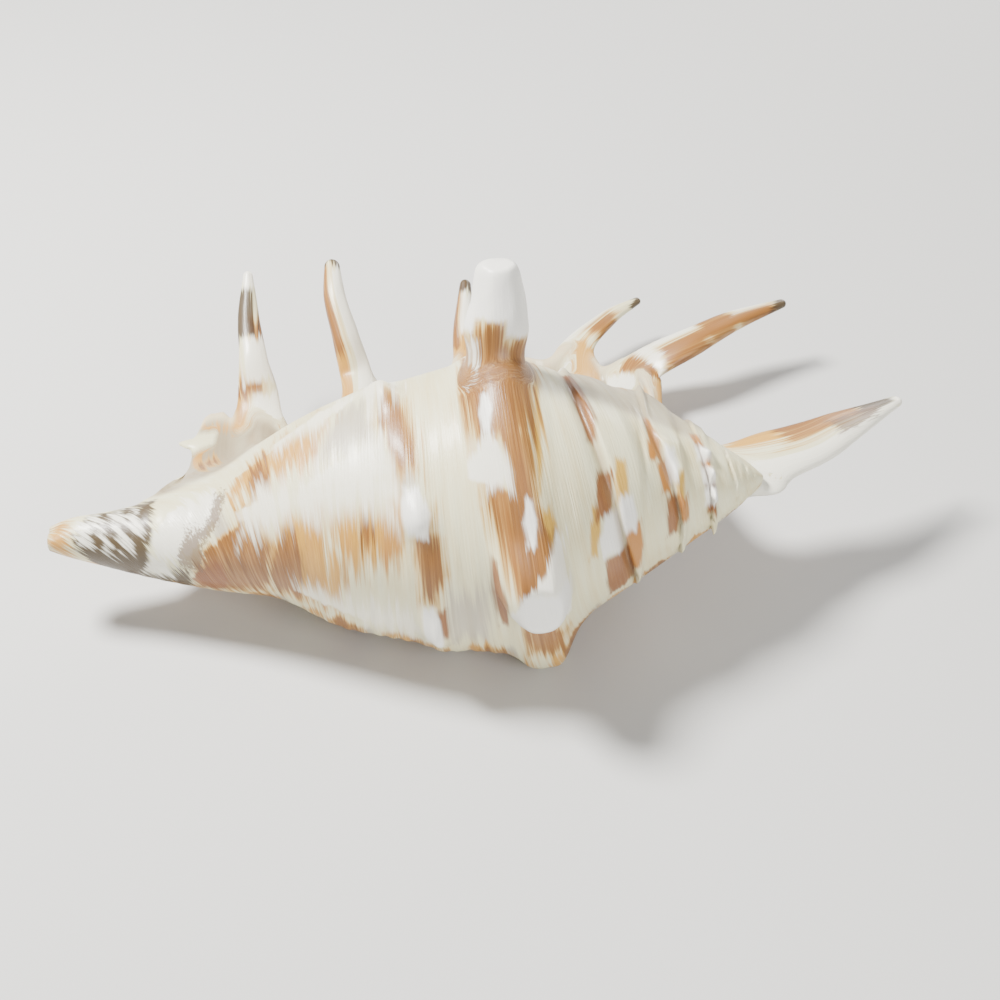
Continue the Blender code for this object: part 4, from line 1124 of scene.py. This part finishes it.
# base colour: cream and yellow, then layer over layer c + (colour - c) mask; returns it with the masks of the
# white and the inside
def addGlaze(tree, broad, fine, hair, speck):
    ragged = raggedMaskGroup()
    push = addMath(tree, "MULTIPLY_ADD", hair, 0.45, fine)
    layers = ("grey", "tan", "halo", "pale", "gold", "orange", "brown", "umber", "dark", "milk", "white",
              "enamel")
    colors = {name: glaze[name][0] for name in layers}
    warm = addMath(tree, "MULTIPLY_ADD", hair, 0.35, addMath(tree, "MULTIPLY_ADD", fine, 0.5, broad))
    warm = addRange(tree, warm, -0.5, 1.2)
    deep = addRange(tree, addMath(tree, "MULTIPLY_ADD", hair, 0.6, broad), -0.3, 1.2)
    light = addRange(tree, push, 0.1, -1.1, 0.0, 0.9)
    brown = addMix(tree, addMath(tree, "MULTIPLY", deep, 0.75), colors["brown"], glaze["brownDeep"])
    colors.update(
        tan=addMix(tree, addMath(tree, "MULTIPLY", warm, 0.8), colors["tan"], glaze["tanDeep"]),
        brown=addMix(tree, light, brown, glaze["brownLight"]),
        umber=addMix(tree, addMath(tree, "MULTIPLY", light, 0.6), colors["umber"], colors["orange"]))
    wider = addMath(tree, "ADD", addField(tree, "brown"), glaze["haloWidth"])
    longer = addMath(tree, "MULTIPLY_ADD", broad, 0.6, push)

    def mask(name, streak):
        _, reach, soft, strength = glaze[name]
        field = wider if name == "halo" else addField(tree, name)
        inputs = dict(Field=field, Streak=streak, Reach=reach, Soft=soft, Strength=strength)
        return addNode(tree, "ShaderNodeGroup", inputs, node_tree=ragged).outputs["Mask"]

    base = addMix(tree, addMath(tree, "MULTIPLY", warm, glaze["warmth"]), glaze["cream"], glaze["yellow"])
    mottle = addRange(tree, broad, -0.8, 1.0, 0.65, 1.0)
    # the lip's sheet colour, which also lays painted shade on the body near the spire
    base = addMix(tree, addMath(tree, "MULTIPLY", addField(tree, "lipSheet"), mottle), base, glaze["sheetAndShade"])
    masks = {name: mask(name, longer if name == "milk" else push) for name in layers}
    for name in layers:
        base = addMix(tree, masks[name], base, colors[name])
    base = addMix(tree, addMath(tree, "MULTIPLY", addField(tree, "crease"), 0.6), base, glaze["crease"])
    base = addMix(tree, mask("speckle", speck), base, glaze["speckle"][0])
    base = addMix(tree, addMath(tree, "MULTIPLY", addField(tree, "rim"), 0.8), base, glaze["rim"])
    inner = addMix(tree, addRange(tree, broad, -0.6, 1.0), glaze["inside"], glaze["insideDeep"])
    insideMask = addField(tree, "inside")
    return addMix(tree, insideMask, base, inner), masks["white"], insideMask


# height of the surface in mm: threads, worn away in places, plus streaks and grain, each times its depth
def addRelief(tree, space, broad, fine, hair, speck):
    inputs = dict(Space=space, Bend=fine, Spacing=glaze["threadSpacing"])
    thread = addNode(tree, "ShaderNodeGroup", inputs, node_tree=threadGroup()).outputs["Height"]
    worn = addRange(tree, broad, -0.8, 0.6, 0.35, 1.0)
    shown = addMath(tree, "MULTIPLY", addField(tree, "thread"), worn)
    height = addMath(tree, "MULTIPLY", thread, addMath(tree, "MULTIPLY", shown, glaze["threadDepth"]))
    height = addMath(tree, "MULTIPLY_ADD", hair, glaze["streakDepth"], height)
    height = addMath(tree, "MULTIPLY_ADD", speck, glaze["grainDepth"], height)
    return addNode(tree, "ShaderNodeBump", {"Height": height, "Strength": 1.0, "Distance": mm}).outputs[0]


# material of the shell: glaze colour, roughness from streaks less polish on white and inside, coat and relief
def shellMaterial():
    material = bpy.data.materials.new("shellGlaze")
    material.use_nodes = True
    tree = material.node_tree
    surface = tree.nodes["Principled BSDF"]
    space = addNode(tree, "ShaderNodeAttribute", attribute_name="streakSpace").outputs["Vector"]
    noiseGroup = streakNoiseGroup()

    def noise(name):
        across, along, detail = glaze[name]
        inputs = dict(Space=space, Across=across, Along=along, Detail=detail)
        return addNode(tree, "ShaderNodeGroup", inputs, node_tree=noiseGroup).outputs["Value"]

    broad, fine, hair, speck = noise("broad"), noise("fine"), noise("hair"), noise("speck")
    color, whiteMask, insideMask = addGlaze(tree, broad, fine, hair, speck)
    tree.links.new(color, surface.inputs["Base Color"])
    smooth, coarse = (glaze["roughness"] + change for change in glaze["roughRange"])
    rough = addRange(tree, fine, -1.0, 1.0, smooth, coarse)
    rough = addMath(tree, "MULTIPLY_ADD", whiteMask, -glaze["whitePolish"], rough)
    rough = addMath(tree, "MULTIPLY_ADD", insideMask, -glaze["polish"], rough)
    tree.links.new(rough, surface.inputs["Roughness"])
    tree.links.new(addRange(tree, insideMask, 0.0, 1.0, *glaze["coat"]), surface.inputs["Coat Weight"])
    surface.inputs["Coat Roughness"].default_value = glaze["coatRoughness"]
    tree.links.new(addRelief(tree, space, broad, fine, hair, speck), surface.inputs["Normal"])
    return material


shellMesh.materials.clear()
shellMesh.materials.append(shellMaterial())
print("material made")
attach(shell, "root")
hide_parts("spider_conch_shell")
